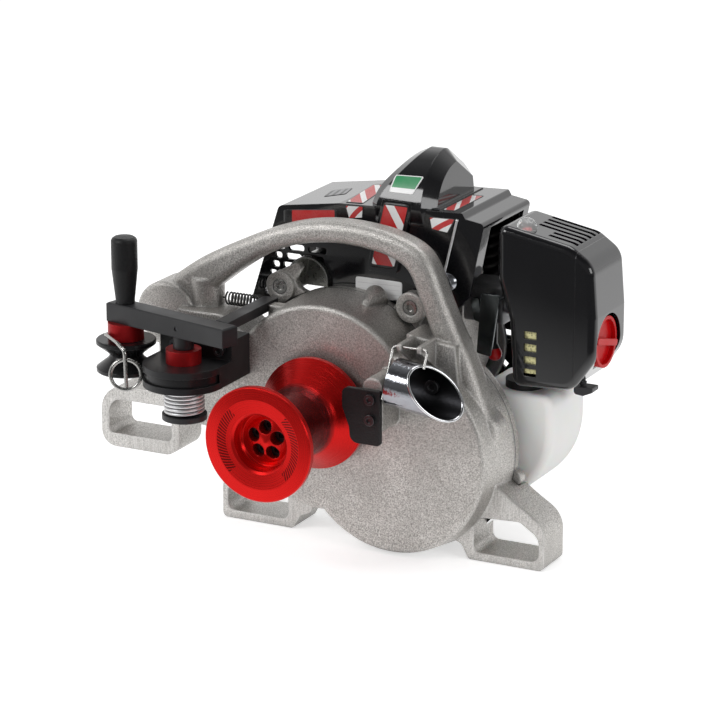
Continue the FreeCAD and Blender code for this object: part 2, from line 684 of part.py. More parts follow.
def lug_places():
    return [on_circle(DRUM_X, DRUM_Z, LUG_CIRCLE_R, degrees) for degrees in (LUG_LEFT_DEG, LUG_RIGHT_DEG)]


def low_lug_place():
    return on_circle(COUNTER_X, COUNTER_Z, DISC_R + DISC_DRAFT + 1, LUG_LOW_DEG)


def rear_plan(grow):
    return [(DRUM_X, DRUM_Z, CASE_R + CASE_DRAFT + grow), (COUNTER_X, COUNTER_Z,
                                                           DISC_R + DISC_DRAFT + grow)]


def case_gasket():
    sheet = fuse([rod_y(x, z, radius, JOINT_Y, REAR_Y) for x, z, radius in rear_plan(0)])
    window = fuse([rod_y(DRUM_X, DRUM_Z, CASE_R - CASE_WALL, JOINT_Y - 1, REAR_Y + 1),
                   rod_y(COUNTER_X, COUNTER_Z, DISC_R - CASE_WALL, JOINT_Y - 1, REAR_Y + 1)])
    return sheet.cut(window).cut(below_ground())


def lug_web(x, z):
    """Web between a bolt lug and the housing plate."""
    inner_x, inner_z = (x * 2 + DRUM_X) / 3, (z * 2 + DRUM_Z) / 3
    across = Vector(inner_z - z, 0, x - inner_x).normalize() * LUG_R
    inner = Vector(inner_x, REAR_Y, inner_z)
    outer = Vector(x, REAR_Y, z)
    corners = [inner + across, inner - across, outer - across, outer + across]
    return Part.Face(Part.makePolygon(corners + corners[:1])).extrude(Vector(0, LUG_BACK, 0))


def exhaust_web(x, z):
    """Cast horn from the left bolt lug up to the exhaust hood."""
    corners = [(x - 9, z + 10.5, 0), (x + 16, z + 24, 3), (x + 20, z + 19, 2), (x + 11, z + 5, 9), (x + 21,
                                                                                                    z - 2,
                                                                                                    8),
               (x + 34, z - 6, 0), (x + 34, z - 30, 0), (x - 4, z - 30, 0), (x - 13.5, z - 6, 0)]
    return prism_y(corners, REAR_Y - LUG_FORWARD + 4, REAR_Y + LUG_BACK)


def rear_housing():
    back = REAR_Y + REAR_WALL
    plate = fuse([rod_y(x, z, radius, REAR_Y, back) for x, z, radius in rear_plan(-0.5)])
    case = fuse([rod_y(x, z, radius, REAR_Y - LUG_FORWARD - 1, REAR_Y) for x, z, radius in rear_plan(0.5)])
    left_lug, right_lug = lug_places()
    lugs = [exhaust_web(*left_lug), lug_web(*right_lug)]
    lugs += [rod_y(x, z, LUG_R, REAR_Y - LUG_FORWARD, REAR_Y + LUG_BACK) for x, z in lug_places()]
    pieces = [plate, fuse(lugs).cut(case), rod_y(*low_lug_place(), LUG_R / 2, REAR_Y, back),
              rod_y(DRUM_X, DRUM_Z, DRUM_BEARING_R + 6, REAR_Y, REAR_Y + REAR_BOSS),
              rod_y(COUNTER_X, COUNTER_Z, COUNTER_BEARING_R + 6, REAR_Y, REAR_Y + REAR_BOSS),
              rod_y(CRANK_X, CRANK_Z, BELL_R, REAR_Y, BELL_BACK_Y)]
    solid = fuse(pieces)
    cuts = [below_ground(), rod_y(CRANK_X, CRANK_Z, BELL_R - BELL_WALL, REAR_Y + REAR_BOSS,
                                  BELL_BACK_Y + 1),
            rod_y(CRANK_X, CRANK_Z, CLUTCH_BEARING_R, REAR_Y + 3, REAR_Y + REAR_BOSS + 1),
            rod_y(CRANK_X, CRANK_Z, CLUTCH_SHAFT_R + 2, REAR_Y - 1, REAR_Y + 4),
            rod_y(DRUM_X, DRUM_Z, DRUM_BEARING_R, REAR_Y - 1, REAR_Y + BEARING_WIDTH),
            rod_y(COUNTER_X, COUNTER_Z, COUNTER_BEARING_R, REAR_Y - 1, REAR_Y + BEARING_WIDTH)]
    for x, z in lug_places():
        cuts.append(rod_y(x, z, LUG_BOLT_R, REAR_Y - LUG_FORWARD - 1, back + 1))
        cuts.append(rod_y(x, z, LUG_POCKET_R, REAR_Y - LUG_FORWARD - 1,
                          REAR_Y - LUG_FORWARD + LUG_POCKET_DEPTH))
    for cut in cuts:
        solid = solid.cut(cut)
    return solid


def socket_screw(x, z, radius, head_r, head, seat_y, length):
    """Socket head screw along +Y with its head in front of seat_y."""
    body = rod_y(x, z, radius, seat_y, seat_y + length)
    top = rod_y(x, z, head_r, seat_y - head, seat_y)
    socket = rod_y(x, z, head_r * 0.5, seat_y - head - 1, seat_y - head / 2)
    return fuse([body, top]).cut(socket)


def housing_bolts():
    seat = REAR_Y - LUG_FORWARD + LUG_POCKET_DEPTH
    length = REAR_Y + LUG_BACK - seat
    bolts = [socket_screw(x, z, LUG_BOLT_R, LUG_POCKET_R - 0.7, LUG_POCKET_DEPTH, seat, length)
             for x, z in lug_places()]
    return Part.makeCompound(bolts)


def bearing(x, z, outer, inner, y0):
    return ring_y(x, z, outer, inner + RUNNING, y0, y0 + BEARING_WIDTH)


def gear_bearings():
    front = FACE_Y + 3
    rings = [bearing(DRUM_X, DRUM_Z, DRUM_BEARING_R, DRUM_SHAFT_R, front),
             bearing(COUNTER_X, COUNTER_Z, COUNTER_BEARING_R, COUNTER_SHAFT_R, front),
             bearing(DRUM_X, DRUM_Z, DRUM_BEARING_R, DRUM_SHAFT_R, REAR_Y),
             bearing(COUNTER_X, COUNTER_Z, COUNTER_BEARING_R, COUNTER_SHAFT_R, REAR_Y),
             bearing(CRANK_X, CRANK_Z, CLUTCH_BEARING_R, CLUTCH_SHAFT_R, REAR_Y + 3)]
    return Part.makeCompound(rings)


def shaft_seal():
    return ring_y(DRUM_X, DRUM_Z, SHAFT_FLANGE_R, DRUM_SHAFT_R + RUNNING, FACE_Y - HUB_LENGTH, FACE_Y + 3)


def capstan_drum():
    front = DRUM_FRONT_Y
    recess = front + DRUM_RECESS_DEPTH
    profile = [(0, recess - DOME_RISE), (DOME_R * 0.6, recess - DOME_RISE * 0.72), (DOME_R, recess),
               (DRUM_RECESS_R - 2, recess), (DRUM_RECESS_R, recess - 3), (DRUM_RECESS_R,
                                                                          front + DISH_DEPTH + 2),
               (DRUM_RECESS_R + 2, front + DISH_DEPTH), (DISH_R, front), (FLANGE_R - 1, front),
               (FLANGE_R, front + 1), (FLANGE_R, front + RIM_WIDTH - 1), (FLANGE_R - 1, front + RIM_WIDTH),
               (FLANGE_R - 7, front + RIM_WIDTH + 4), (CORE_SHOULDER_R, front + RIM_WIDTH + 22),
               (CORE_R, front + RIM_WIDTH + 30), (CORE_R, DRUM_BACK_Y - 38),
               (CORE_SHOULDER_R - 2, DRUM_BACK_Y - 31), (CORE_SHOULDER_R, DRUM_BACK_Y - 27),
               (REAR_FLANGE_R - 1, DRUM_BACK_Y - RIM_WIDTH), (REAR_FLANGE_R, DRUM_BACK_Y - RIM_WIDTH + 1),
               (REAR_FLANGE_R, DRUM_BACK_Y - 1), (REAR_FLANGE_R - 1, DRUM_BACK_Y), (DRUM_BORE_R,
                                                                                    DRUM_BACK_Y),
               (DRUM_BORE_R, WEB_BACK_Y), (0, WEB_BACK_Y)]
    solid = turned_y(profile, DRUM_X, DRUM_Z)
    for x, z in drum_screw_places():
        solid = solid.cut(rod_y(x, z, DRUM_SCREW_POCKET_R, recess - DOME_RISE - 1,
                                recess + DRUM_SCREW_POCKET_DEPTH))
        solid = solid.cut(rod_y(x, z, DRUM_SCREW_R, recess, WEB_BACK_Y + 1))
    return solid


def drum_screw_places():
    step = 360 / DRUM_SCREWS
    return [on_circle(DRUM_X, DRUM_Z, DRUM_SCREW_CIRCLE_R,
                      90 + step * index) for index in range(DRUM_SCREWS)]


def drum_screws():
    seat = DRUM_FRONT_Y + DRUM_RECESS_DEPTH + DRUM_SCREW_POCKET_DEPTH
    head_r = DRUM_SCREW_POCKET_R - 0.5
    return Part.makeCompound([socket_screw(x, z, DRUM_SCREW_R, head_r, DRUM_SCREW_HEAD, seat,
                                           WEB_BACK_Y + SHAFT_FLANGE_LENGTH - 2 - seat)
                              for x, z in drum_screw_places()])


def drum_shaft():
    end = REAR_Y + BEARING_WIDTH
    flange = rod_y(DRUM_X, DRUM_Z, SHAFT_FLANGE_R, WEB_BACK_Y, WEB_BACK_Y + SHAFT_FLANGE_LENGTH)
    solid = fuse([flange, rod_y(DRUM_X, DRUM_Z, DRUM_SHAFT_R, WEB_BACK_Y, end)])
    for x, z in drum_screw_places():
        solid = solid.cut(rod_y(x, z, DRUM_SCREW_R, WEB_BACK_Y - 1, WEB_BACK_Y + SHAFT_FLANGE_LENGTH - 2))
    return solid


def drum_gear():
    back = DRUM_GEAR_Y + DRUM_GEAR_WIDTH
    wheel = gear(DRUM_X, DRUM_Z, DRUM_MODULE, DRUM_TEETH, WHEEL_ADDENDUM, DRUM_GEAR_Y, back,
                 COUNTER_BEARING_DEG)
    return wheel.cut(rod_y(DRUM_X, DRUM_Z, DRUM_SHAFT_R, DRUM_GEAR_Y - 1, back + 1))


def counter_shaft():
    front = FACE_Y + 3 + END_PLAY
    gap_deg = COUNTER_BEARING_DEG + 180 + 180 / PINION_TEETH
    pinion = gear(COUNTER_X, COUNTER_Z, DRUM_MODULE, PINION_TEETH, 1, DRUM_GEAR_Y - 1,
                  DRUM_GEAR_Y + DRUM_GEAR_WIDTH + 1, gap_deg)
    return fuse([rod_y(COUNTER_X, COUNTER_Z, COUNTER_SHAFT_R, front, REAR_Y + BEARING_WIDTH), pinion])


def counter_gear():
    back = COUNTER_GEAR_Y + COUNTER_GEAR_WIDTH
    wheel = gear(COUNTER_X, COUNTER_Z, CLUTCH_MODULE, COUNTER_TEETH, WHEEL_ADDENDUM, COUNTER_GEAR_Y, back,
                 CRANK_BEARING_DEG)
    return wheel.cut(rod_y(COUNTER_X, COUNTER_Z, COUNTER_SHAFT_R, COUNTER_GEAR_Y - 1, back + 1))


def clutch_drum():
    gap_deg = CRANK_BEARING_DEG + 180 + 180 / CLUTCH_TEETH
    pinion = gear(CRANK_X, CRANK_Z, CLUTCH_MODULE, CLUTCH_TEETH, 1, COUNTER_GEAR_Y - 1,
                  COUNTER_GEAR_Y + COUNTER_GEAR_WIDTH + 1, gap_deg)
    shaft = rod_y(CRANK_X, CRANK_Z, CLUTCH_SHAFT_R, COUNTER_GEAR_Y + COUNTER_GEAR_WIDTH + 1, CLUTCH_WEB_Y)
    cup = rod_y(CRANK_X, CRANK_Z, CLUTCH_DRUM_R, CLUTCH_WEB_Y, CLUTCH_BACK_Y)
    inside = rod_y(CRANK_X, CRANK_Z, CLUTCH_DRUM_R - CLUTCH_DRUM_WALL, CLUTCH_WEB_Y + CLUTCH_DRUM_WALL,
                   CLUTCH_BACK_Y + 1)
    return fuse([pinion, shaft, cup]).cut(inside)


def clutch_shoes():
    y0 = CLUTCH_WEB_Y + CLUTCH_DRUM_WALL + 1
    y1 = CLUTCH_BACK_Y - 1
    ring = ring_y(CRANK_X, CRANK_Z, SHOE_R, SHOE_CORE_R, y0, y1)
    slot = box(CRANK_X - SHOE_R - 1, CRANK_X + SHOE_R + 1, y0 - 1, y1 + 1, CRANK_Z - 2, CRANK_Z + 2)
    carrier = ring_y(CRANK_X, CRANK_Z, SHOE_CORE_R, CRANK_R, y0, y1)
    return fuse([ring.cut(slot), carrier])


def crankshaft():
    y0 = CLUTCH_WEB_Y + CLUTCH_DRUM_WALL + 1
    y1 = FLYWHEEL_Y + FLYWHEEL_WIDTH
    near = CRANK_MID_Y - CRANK_WEB / 2
    far = CRANK_MID_Y + CRANK_WEB / 2
    pieces = [rod_y(CRANK_X, CRANK_Z, CRANK_R, y0, near), rod_y(CRANK_X, CRANK_Z, CRANK_R, far, y1),
              rod_y(CRANK_X, CRANK_Z, CRANK_WEB_R, near - CRANK_WEB, near),
              rod_y(CRANK_X, CRANK_Z, CRANK_WEB_R, far, far + CRANK_WEB),
              rod_y(CRANK_X, CRANK_Z - CRANK_THROW, CRANK_PIN_R, near, far)]
    return fuse(pieces)


def crankcase():
    body = fuse([rod_y(CRANK_X, CRANK_Z, CRANKCASE_R, BELL_BACK_Y, CRANKCASE_BACK_Y),
                 box(CRANK_X - CYLINDER_R - 8, CRANK_X + CYLINDER_R + 8, BELL_BACK_Y + 2,
                     CRANKCASE_BACK_Y - 2,
                     CRANK_Z, CYLINDER_LOW_Z)])
    near = CRANK_MID_Y - CRANK_WEB * 1.5 - 1
    far = CRANK_MID_Y + CRANK_WEB * 1.5 + 1
    cuts = [rod_y(CRANK_X, CRANK_Z, CRANK_WEB_R + 3, near, far),
            rod_y(CRANK_X, CRANK_Z, CRANK_R + RUNNING, BELL_BACK_Y - 1, CRANKCASE_BACK_Y + 1),
            rod_z(CRANK_X, CRANK_MID_Y, BORE_R + RUNNING, CRANK_Z, CYLINDER_LOW_Z + 1)]
    for cut in cuts:
        body = body.cut(cut)
    return body


def cylinder():
    pieces = [rod_z(CRANK_X, CRANK_MID_Y, CYLINDER_R, CYLINDER_LOW_Z, CYLINDER_HIGH_Z)]
    for index in range(FIN_COUNT):
        z = CYLINDER_LOW_Z + 12 + index * FIN_PITCH
        fin = prism_z(rectangle(CRANK_X - FIN_REACH, CRANK_X + FIN_REACH, SHROUD_FRONT_Y + 28,
                                SHROUD_BACK_Y - 5, 12), z, z + FIN_THICK)
        pieces.append(fin)
    solid = fuse(pieces)
    return solid.cut(rod_z(CRANK_X, CRANK_MID_Y, BORE_R + RUNNING, CYLINDER_LOW_Z - 1, CYLINDER_HIGH_Z - 4))


def piston():
    return rod_z(CRANK_X, CRANK_MID_Y, BORE_R, PISTON_LOW_Z, PISTON_LOW_Z + PISTON_HEIGHT)


def spark_plug():
    base = CYLINDER_HIGH_Z
    profile = [(0, base), (9, base), (9, base + 8), (5.5, base + 10), (5.5, base + 28), (3, base + 30),
               (3, base + 38), (0, base + 38)]
    return turned_z(profile, CRANK_X, CRANK_MID_Y)


def muffler():
    """Pressed steel silencer beside the cylinder, with a domed cover and an outlet pipe."""
    body = prism_z(rectangle(SHROUD_LEFT_X + 16, CRANK_X - FIN_REACH, BELL_BACK_Y - 10, SHROUD_BACK_Y - 12,
                             14),
                   CYLINDER_LOW_Z + 4, CYLINDER_HIGH_Z - 12)
    outlet = rod_y(SHROUD_LEFT_X + 40, CYLINDER_LOW_Z + 20, OUTLET_R, SHROUD_BACK_Y - 14, SHROUD_BACK_Y + 8)
    return fuse([body, outlet])


def hood_outline(shrink):
    """Arched front outline of the exhaust hood, with a flared right foot."""
    left, right, top = HOOD_X - HOOD_R + shrink, HOOD_X + HOOD_R - shrink, HOOD_TOP_Z - shrink
    crown = HOOD_R - shrink - 0.1
    low = HOOD_TOP_Z - 2.4 * HOOD_R - shrink
    return [(left, low, 0), (left, top, crown), (right, top, crown), (right, top - HOOD_R - 8, 14),
            (right + 16, low, 0)]


def exhaust_hood():
    """Plated sheet hood over the silencer's outlet, open to the front."""
    front = REAR_Y + LUG_BACK + FIT_GAP
    back = BELL_BACK_Y - 10
    sheet = prism_y(hood_outline(0), front, back).cut(prism_y(hood_outline(HOOD_SHEET), front - 1,
                                                              back - HOOD_SHEET))
    plate = rod_y(DRUM_X, DRUM_Z, CASE_R + CASE_DRAFT - 0.5, front - 1, SHROUD_FRONT_Y)
    return sheet.cut(plate).cut(box(HOOD_X - 60, HOOD_X + 60, front - 1, back + 1, 0, CYLINDER_LOW_Z + 4))


def flywheel():
    y1 = FLYWHEEL_Y + FLYWHEEL_WIDTH
    disc = rod_y(CRANK_X, CRANK_Z, FLYWHEEL_R, FLYWHEEL_Y, FLYWHEEL_Y + 4)
    hub = rod_y(CRANK_X, CRANK_Z, CRANK_R + 8, FLYWHEEL_Y, y1)
    blades = []
    for index in range(BLADE_COUNT):
        blade = box(CRANK_X + 30, CRANK_X + FLYWHEEL_R - 1, FLYWHEEL_Y + 4, y1, CRANK_Z - 1.5,
                    CRANK_Z + 1.5)
        blade.rotate(Vector(CRANK_X, 0, CRANK_Z), ALONG_Y, 360 / BLADE_COUNT * index)
        blades.append(blade)
    bore = rod_y(CRANK_X, CRANK_Z, CRANK_R, FLYWHEEL_Y - 1, y1 + 1)
    return fuse([disc, hub] + blades).cut(bore)


def starter_housing():
    """Dished recoil starter cover with air slots, behind the flywheel."""
    back = STARTER_BACK_Y
    outer = turned_y([(0, STARTER_Y), (STARTER_R, STARTER_Y), (STARTER_R, back - 16), (STARTER_R - 14,
                                                                                       back - 4),
                      (34, back), (0, back)], CRANK_X, CRANK_Z)
    wall = STARTER_WALL
    inner = turned_y([(0, STARTER_Y - 1), (STARTER_R - wall, STARTER_Y - 1), (STARTER_R - wall, back - 17),
                      (STARTER_R - 15, back - 4 - wall), (34, back - wall), (0, back - wall)], CRANK_X,
                      CRANK_Z)
    solid = outer.cut(inner)
    for index in range(10):
        slot = box(CRANK_X + 36, CRANK_X + STARTER_R - 18, back - 12, back + 1, CRANK_Z - 3, CRANK_Z + 3)
        slot.rotate(Vector(CRANK_X, 0, CRANK_Z), ALONG_Y, 36 * index)
        solid = solid.cut(slot)
    return solid


def starter_grip():
    """T grip of the recoil starter, parked on the left edge of its housing."""
    x = CRANK_X - STARTER_R
    y = STARTER_BACK_Y - 22
    bar = rod_y(x - 12, CRANK_Z + 18, 7, y - 16, y + 16)
    bar = rounded_edges(bar, 3, lambda e: e.BoundBox.YLength < 0.01)
    stem = rod_x(y, CRANK_Z + 18, 4, x - 12, x + 8)
    seat = rod_y(CRANK_X, CRANK_Z, STARTER_R + FIT_GAP, y - 20, y + 20)
    return fuse([bar, stem]).cut(seat)


def shroud_section():
    """Outline of the cover across X and Z: skirt, left shoulder, roof, ridge and stepped right edge."""
    return [(SHROUD_SKIRT_X, SHROUD_SKIRT_Z, 0), (SHROUD_LEFT_X, SHROUD_SHOULDER_Z, 7),
            (HUMP_LEFT_X - 30, SHROUD_ROOF_Z - 2, 20), (SHROUD_RIDGE_X, SHROUD_ROOF_Z + 3, 2),
            (SHROUD_RIDGE_X + 3, SHROUD_ROOF_Z + 3 - SHROUD_STEP, 0), (SHROUD_RIGHT_X,
                                                                       SHROUD_ROOF_Z - SHROUD_STEP, 4),
            (SHROUD_RIGHT_X - 14, SHROUD_SKIRT_Z + 30, 0), (SHROUD_RIGHT_X - 30, SHROUD_FRONT_LOW_Z, 0),
            (SHROUD_LEFT_X + 50, SHROUD_FRONT_LOW_Z, 0), (SHROUD_LEFT_X + 20, SHROUD_SKIRT_Z, 0)]


def shroud_hollow():
    """Space inside the cover: open below, at the left under the shoulder and at the right."""
    wall = SHROUD_WALL
    low = SHROUD_SKIRT_Z - 40
    open_left = SHROUD_SHOULDER_Z - 26
    open_right = CARB_Z + 28
    corners = [(SHROUD_SKIRT_X - 40, low, 0), (SHROUD_SKIRT_X - 40, open_left, 0),
               (SHROUD_LEFT_X + wall - 6, open_left, 0),
               (SHROUD_LEFT_X + wall + 1, SHROUD_SHOULDER_Z - wall, 4), (HUMP_LEFT_X - 30,
                                                                         SHROUD_ROOF_Z - 2 - wall, 20),
               (SHROUD_RIDGE_X, SHROUD_ROOF_Z - SHROUD_STEP - wall, 0),
               (SHROUD_RIGHT_X - wall - 1, SHROUD_ROOF_Z - SHROUD_STEP - wall, 0),
               (SHROUD_RIGHT_X - wall - 12, open_right, 0), (SHROUD_RIGHT_X + 10, open_right, 0),
               (SHROUD_RIGHT_X + 10, low, 0)]
    return prism_y(corners, SHROUD_FRONT_Y + wall, SHROUD_BACK_Y - wall)


def grille_slots():
    """Rows of slots through the front wall, following its leaning left edge."""
    slots = []
    lean = (SHROUD_LEFT_X - SHROUD_SKIRT_X) / (SHROUD_SHOULDER_Z - SHROUD_SKIRT_Z)
    for row in range(GRILLE_ROWS):
        z = SHROUD_SKIRT_Z + 7 + row * GRILLE_PITCH
        x = SHROUD_SKIRT_X + lean * (z - SHROUD_SKIRT_Z) + 12
        for start, end in ((x, x + 7), (x + 11, x + 27), (x + 31, x + 50)):
            slots.append(prism_y(rectangle(start, end, z, z + 6, 2.5), SHROUD_FRONT_Y - 1,
                                 SHROUD_FRONT_Y + SHROUD_WALL + 1))
    return slots


def engine_shroud():
    """Moulded cover: front wall with a slotted grille, roof, right wall and back wall."""
    block = prism_y(shroud_section(), SHROUD_FRONT_Y, SHROUD_BACK_Y)
    solid = block.cut(shroud_hollow())
    cuts = [box(SHROUD_SKIRT_X - 1, SHROUD_RIGHT_X + 1, SHROUD_BACK_Y - SHROUD_WALL - 1, SHROUD_BACK_Y + 1,
                0,
                CRANK_Z + FLYWHEEL_R + 2),
            rod_y(SHROUD_LEFT_X + 40, CYLINDER_LOW_Z + 20, OUTLET_R + 1, SHROUD_BACK_Y - 20,
                  SHROUD_BACK_Y + 1),
            box(SHROUD_RIGHT_X - 24, SHROUD_RIGHT_X + 1, SHROUD_FRONT_Y + 16, SHROUD_BACK_Y - 12,
                SHROUD_ROOF_Z - 70, SHROUD_ROOF_Z - SHROUD_STEP - 6),
            prism_y(hood_outline(-FIT_GAP), SHROUD_FRONT_Y - 1, SHROUD_FRONT_Y + SHROUD_WALL + 1),
            rod_z(CRANK_X, CRANK_MID_Y, 16, CYLINDER_HIGH_Z, SHROUD_ROOF_Z + 20),
            rod_y(SHROUD_SCREW_X, SHROUD_SCREW_Z, 4, SHROUD_FRONT_Y - 1, SHROUD_FRONT_Y + 20)]
    for cut in cuts + grille_slots():
        solid = solid.cut(cut)
    return solid


def hump_side():
    """Side outline of the plug cover in Y and Z: bowed front, short top and sloping back."""
    front = SHROUD_FRONT_Y - HUMP_PROUD
    base = SHROUD_ROOF_Z + 2
    low = SHROUD_ROOF_Z - HUMP_ROOT
    back = SHROUD_BACK_Y - 2
    return [(SHROUD_FRONT_Y, low, 0), (front, base, 12), (front + 13, HUMP_TOP_Z - 8, HUMP_RISE * 1.25),
            (front + HUMP_DEPTH, HUMP_TOP_Z, 16), (back - 3, base + HUMP_RISE * 0.42, 14), (back, low, 0)]


def hump_front():
    """Front outline of the plug cover in X and Z: bowed left edge and leaning right side."""
    low = SHROUD_ROOF_Z - HUMP_ROOT
    return [(HUMP_LEFT_X, low, 0), (HUMP_RIGHT_X, low, 0), (HUMP_RIGHT_X - HUMP_LEAN, HUMP_TOP_Z + 1, 0),
            (HUMP_LEFT_X + HUMP_INSET, HUMP_TOP_Z + 1, 0), (HUMP_LEFT_X + 4, SHROUD_ROOF_Z + 13, HUMP_RISE)]


def plug_cover():
    """Tall moulded hump over the spark plug, running down the front wall as a leaning band."""
    front = SHROUD_FRONT_Y - HUMP_PROUD
    hump = prism_x(hump_side(), HUMP_LEFT_X - 1, HUMP_RIGHT_X + 1)
    hump = hump.common(prism_y(hump_front(), front - 1, SHROUD_BACK_Y))
    right_x = HUMP_RIGHT_X - HUMP_LEAN - 1
    right_edges = [edge for edge in hump.Edges
                   if edge.BoundBox.XMin > right_x and edge.BoundBox.ZMax > SHROUD_ROOF_Z]
    hump = hump.makeChamfer(HUMP_BEVEL, right_edges)
    left_x = HUMP_LEFT_X + HUMP_INSET + 2
    back_y = front + HUMP_DEPTH + 4
    left_edges = [edge for edge in hump.Edges
                  if edge.BoundBox.XMax < left_x and edge.BoundBox.YMax < back_y
                  and edge.BoundBox.ZMax > SHROUD_ROOF_Z]
    hump = hump.makeChamfer(HUMP_EDGE, left_edges)
    band_top = SHROUD_ROOF_Z + 8
    left = BAND_LEFT_X - BAND_LEAN * (band_top - BAND_LOW_Z)
    band = prism_y([(left, BAND_LOW_Z, 3), (left + BAND_WIDTH, BAND_LOW_Z, 3),
                    (BAND_LEFT_X + BAND_WIDTH, band_top, 0), (BAND_LEFT_X, band_top, 0)],
                   front, SHROUD_FRONT_Y)
    ledge = box(HUMP_RIGHT_X - 12, HUMP_RIGHT_X + HUMP_LEDGE, SHROUD_FRONT_Y + 4, SHROUD_BACK_Y - 4,
                SHROUD_ROOF_Z - 4, SHROUD_ROOF_Z + HUMP_LEDGE)
    solid = fuse([hump, band, ledge])
    solid = solid.cut(prism_y(shroud_section(), SHROUD_FRONT_Y, SHROUD_BACK_Y))
    return solid.cut(rod_z(CRANK_X, CRANK_MID_Y, 14, CYLINDER_HIGH_Z, HUMP_TOP_Z - 24))


def shroud_screw():
    x, z = SHROUD_SCREW_X, SHROUD_SCREW_Z
    head = Part.makeSphere(10, Vector(x, SHROUD_FRONT_Y + 5, z)).common(
        box(x - 12, x + 12, SHROUD_FRONT_Y - 10, SHROUD_FRONT_Y, z - 12, z + 12))
    return fuse([head, rod_y(x, z, 4, SHROUD_FRONT_Y - 0.5, SHROUD_FRONT_Y + 12)])


def filter_outline(shrink):
    """Front outline of the filter housing in X and Z."""
    low = FILTER_LOW_Z + shrink
    top = FILTER_HIGH_Z - shrink
    left = FILTER_LEFT_X + shrink
    right = FILTER_RIGHT_X - shrink
    return [(left + 16, low, 8), (right - 22, low + 3, 18), (right, low + 34, 30), (right, low + 72, 0),
            (right - 4, top - FILTER_FALL - 15, 20), (right - 26, top - FILTER_FALL, 20), (left, top, 8),
            (left, top - 50, 20), (left + 12, low + 60, 20)]


def filter_block(shrink):
    solid = prism_y(filter_outline(shrink), FILTER_FRONT_Y + shrink, FILTER_BACK_Y - shrink)
    if shrink > 0:
        return solid
    return rounded_edges(solid, FILTER_ROUND, lambda e: e.BoundBox.YLength < 0.01)


def filter_shell():
    return filter_block(0).cut(filter_block(FILTER_WALL))


def filter_base():
    """Left part of the filter housing, with louvres on top and four windows in front."""
    keep = box(FILTER_LEFT_X - 1, FILTER_SPLIT_X, FILTER_FRONT_Y - 1, FILTER_BACK_Y + 1, 0,
               FILTER_HIGH_Z + 1)
    solid = filter_shell().common(keep)
    for index in range(LOUVRES):
        y = FILTER_FRONT_Y + 13 + index * LOUVRE_PITCH
        start = FILTER_SPLIT_X - (32 if index < 2 else 50)
        solid = solid.cut(box(start, FILTER_SPLIT_X - 4, y, y + 5, FILTER_HIGH_Z - 28, FILTER_HIGH_Z + 1))
    for index in range(4):
        z = FILTER_LOW_Z + 12 + index * 11.5
        window = box(FILTER_LEFT_X + 28, FILTER_LEFT_X + 40, FILTER_FRONT_Y - 1,
                     FILTER_FRONT_Y + FILTER_WALL + 1, z, z + 7)
        solid = solid.cut(window)
    stud = rod_x(KNOB_Y, KNOB_Z, KNOB_STUD_R, FILTER_LEFT_X + 14, FILTER_RIGHT_X - KNOB_RECESS)
    throat = rod_x(CARB_Y, CARB_Z, THROAT_R, FILTER_LEFT_X - 1, FILTER_LEFT_X + 20)
    primer_hole = rod_z(PRIMER_X, PRIMER_Y, PRIMER_R - 2, FILTER_HIGH_Z - 20, FILTER_HIGH_Z + 1)
    wall_rest = box(FILTER_LEFT_X + FILTER_WALL, FILTER_LEFT_X + 16, KNOB_Y - 8, KNOB_Y + 8, KNOB_Z - 8,
                    KNOB_Z + 8)
    inside = filter_block(0)
    return fuse([solid, stud, wall_rest.common(inside)]).cut(throat).cut(primer_hole)


def filter_cover():
    """Right part of the filter housing, with the dished seat of the knob."""
    keep = box(FILTER_SPLIT_X, FILTER_RIGHT_X + 1, FILTER_FRONT_Y - 1, FILTER_BACK_Y + 1, 0,
               FILTER_HIGH_Z + 1)
    solid = filter_shell().common(keep)
    floor = FILTER_RIGHT_X - KNOB_RECESS
    seat = rod_x(KNOB_Y, KNOB_Z, KNOB_R + 6, floor - 6, floor).common(filter_block(0))
    solid = fuse([solid, seat])
    solid = solid.cut(rod_x(KNOB_Y, KNOB_Z, KNOB_R + 3, floor, FILTER_RIGHT_X + 10))
    return solid.cut(rod_x(KNOB_Y, KNOB_Z, KNOB_STUD_R + FIT_GAP, FILTER_SPLIT_X - 1, FILTER_RIGHT_X + 1))


def filter_knob():
    """Round red knob with a cross bar grip, on the stud of the filter base."""
    x0 = FILTER_RIGHT_X - KNOB_RECESS + FIT_GAP
    disc = rod_x(KNOB_Y, KNOB_Z, KNOB_R, x0, x0 + KNOB_RIM)
    dish = rod_x(KNOB_Y, KNOB_Z, KNOB_R - 3, x0 + 2.5, x0 + KNOB_RIM + 1)
    bar = prism_x(rectangle(KNOB_Y - KNOB_R + 1, KNOB_Y + KNOB_R - 1, KNOB_Z - 3, KNOB_Z + 3, 2), x0,
                  x0 + KNOB_RIM + 1.5)
    bar.rotate(Vector(0, KNOB_Y, KNOB_Z), ALONG_X, -KNOB_TURN_DEG)
    return fuse([disc.cut(dish), bar])


def filter_element():
    """Block of filter foam inside the housing."""
    x0 = FILTER_LEFT_X + 24
    inner = box(x0, FILTER_SPLIT_X - 1, FILTER_FRONT_Y + FILTER_WALL, FILTER_BACK_Y - FILTER_WALL,
                FILTER_LOW_Z + 14, FILTER_LOW_Z + 92)
    return inner.cut(rod_x(KNOB_Y, KNOB_Z, KNOB_STUD_R + FIT_GAP, x0 - 1, FILTER_SPLIT_X))


def primer_bulb():
    """Clear bulb that sits on the sloping top of the filter housing, with its neck in the hole."""
    fall = FILTER_FALL / (FILTER_RIGHT_X - 26 - FILTER_LEFT_X)
    base = FILTER_HIGH_Z - fall * (PRIMER_X - FILTER_LEFT_X)
    dome = Part.makeSphere(PRIMER_R, Vector(PRIMER_X, PRIMER_Y, base)).cut(filter_block(0))
    return fuse([dome, rod_z(PRIMER_X, PRIMER_Y, PRIMER_R - 2, base - 7, base + 1)])


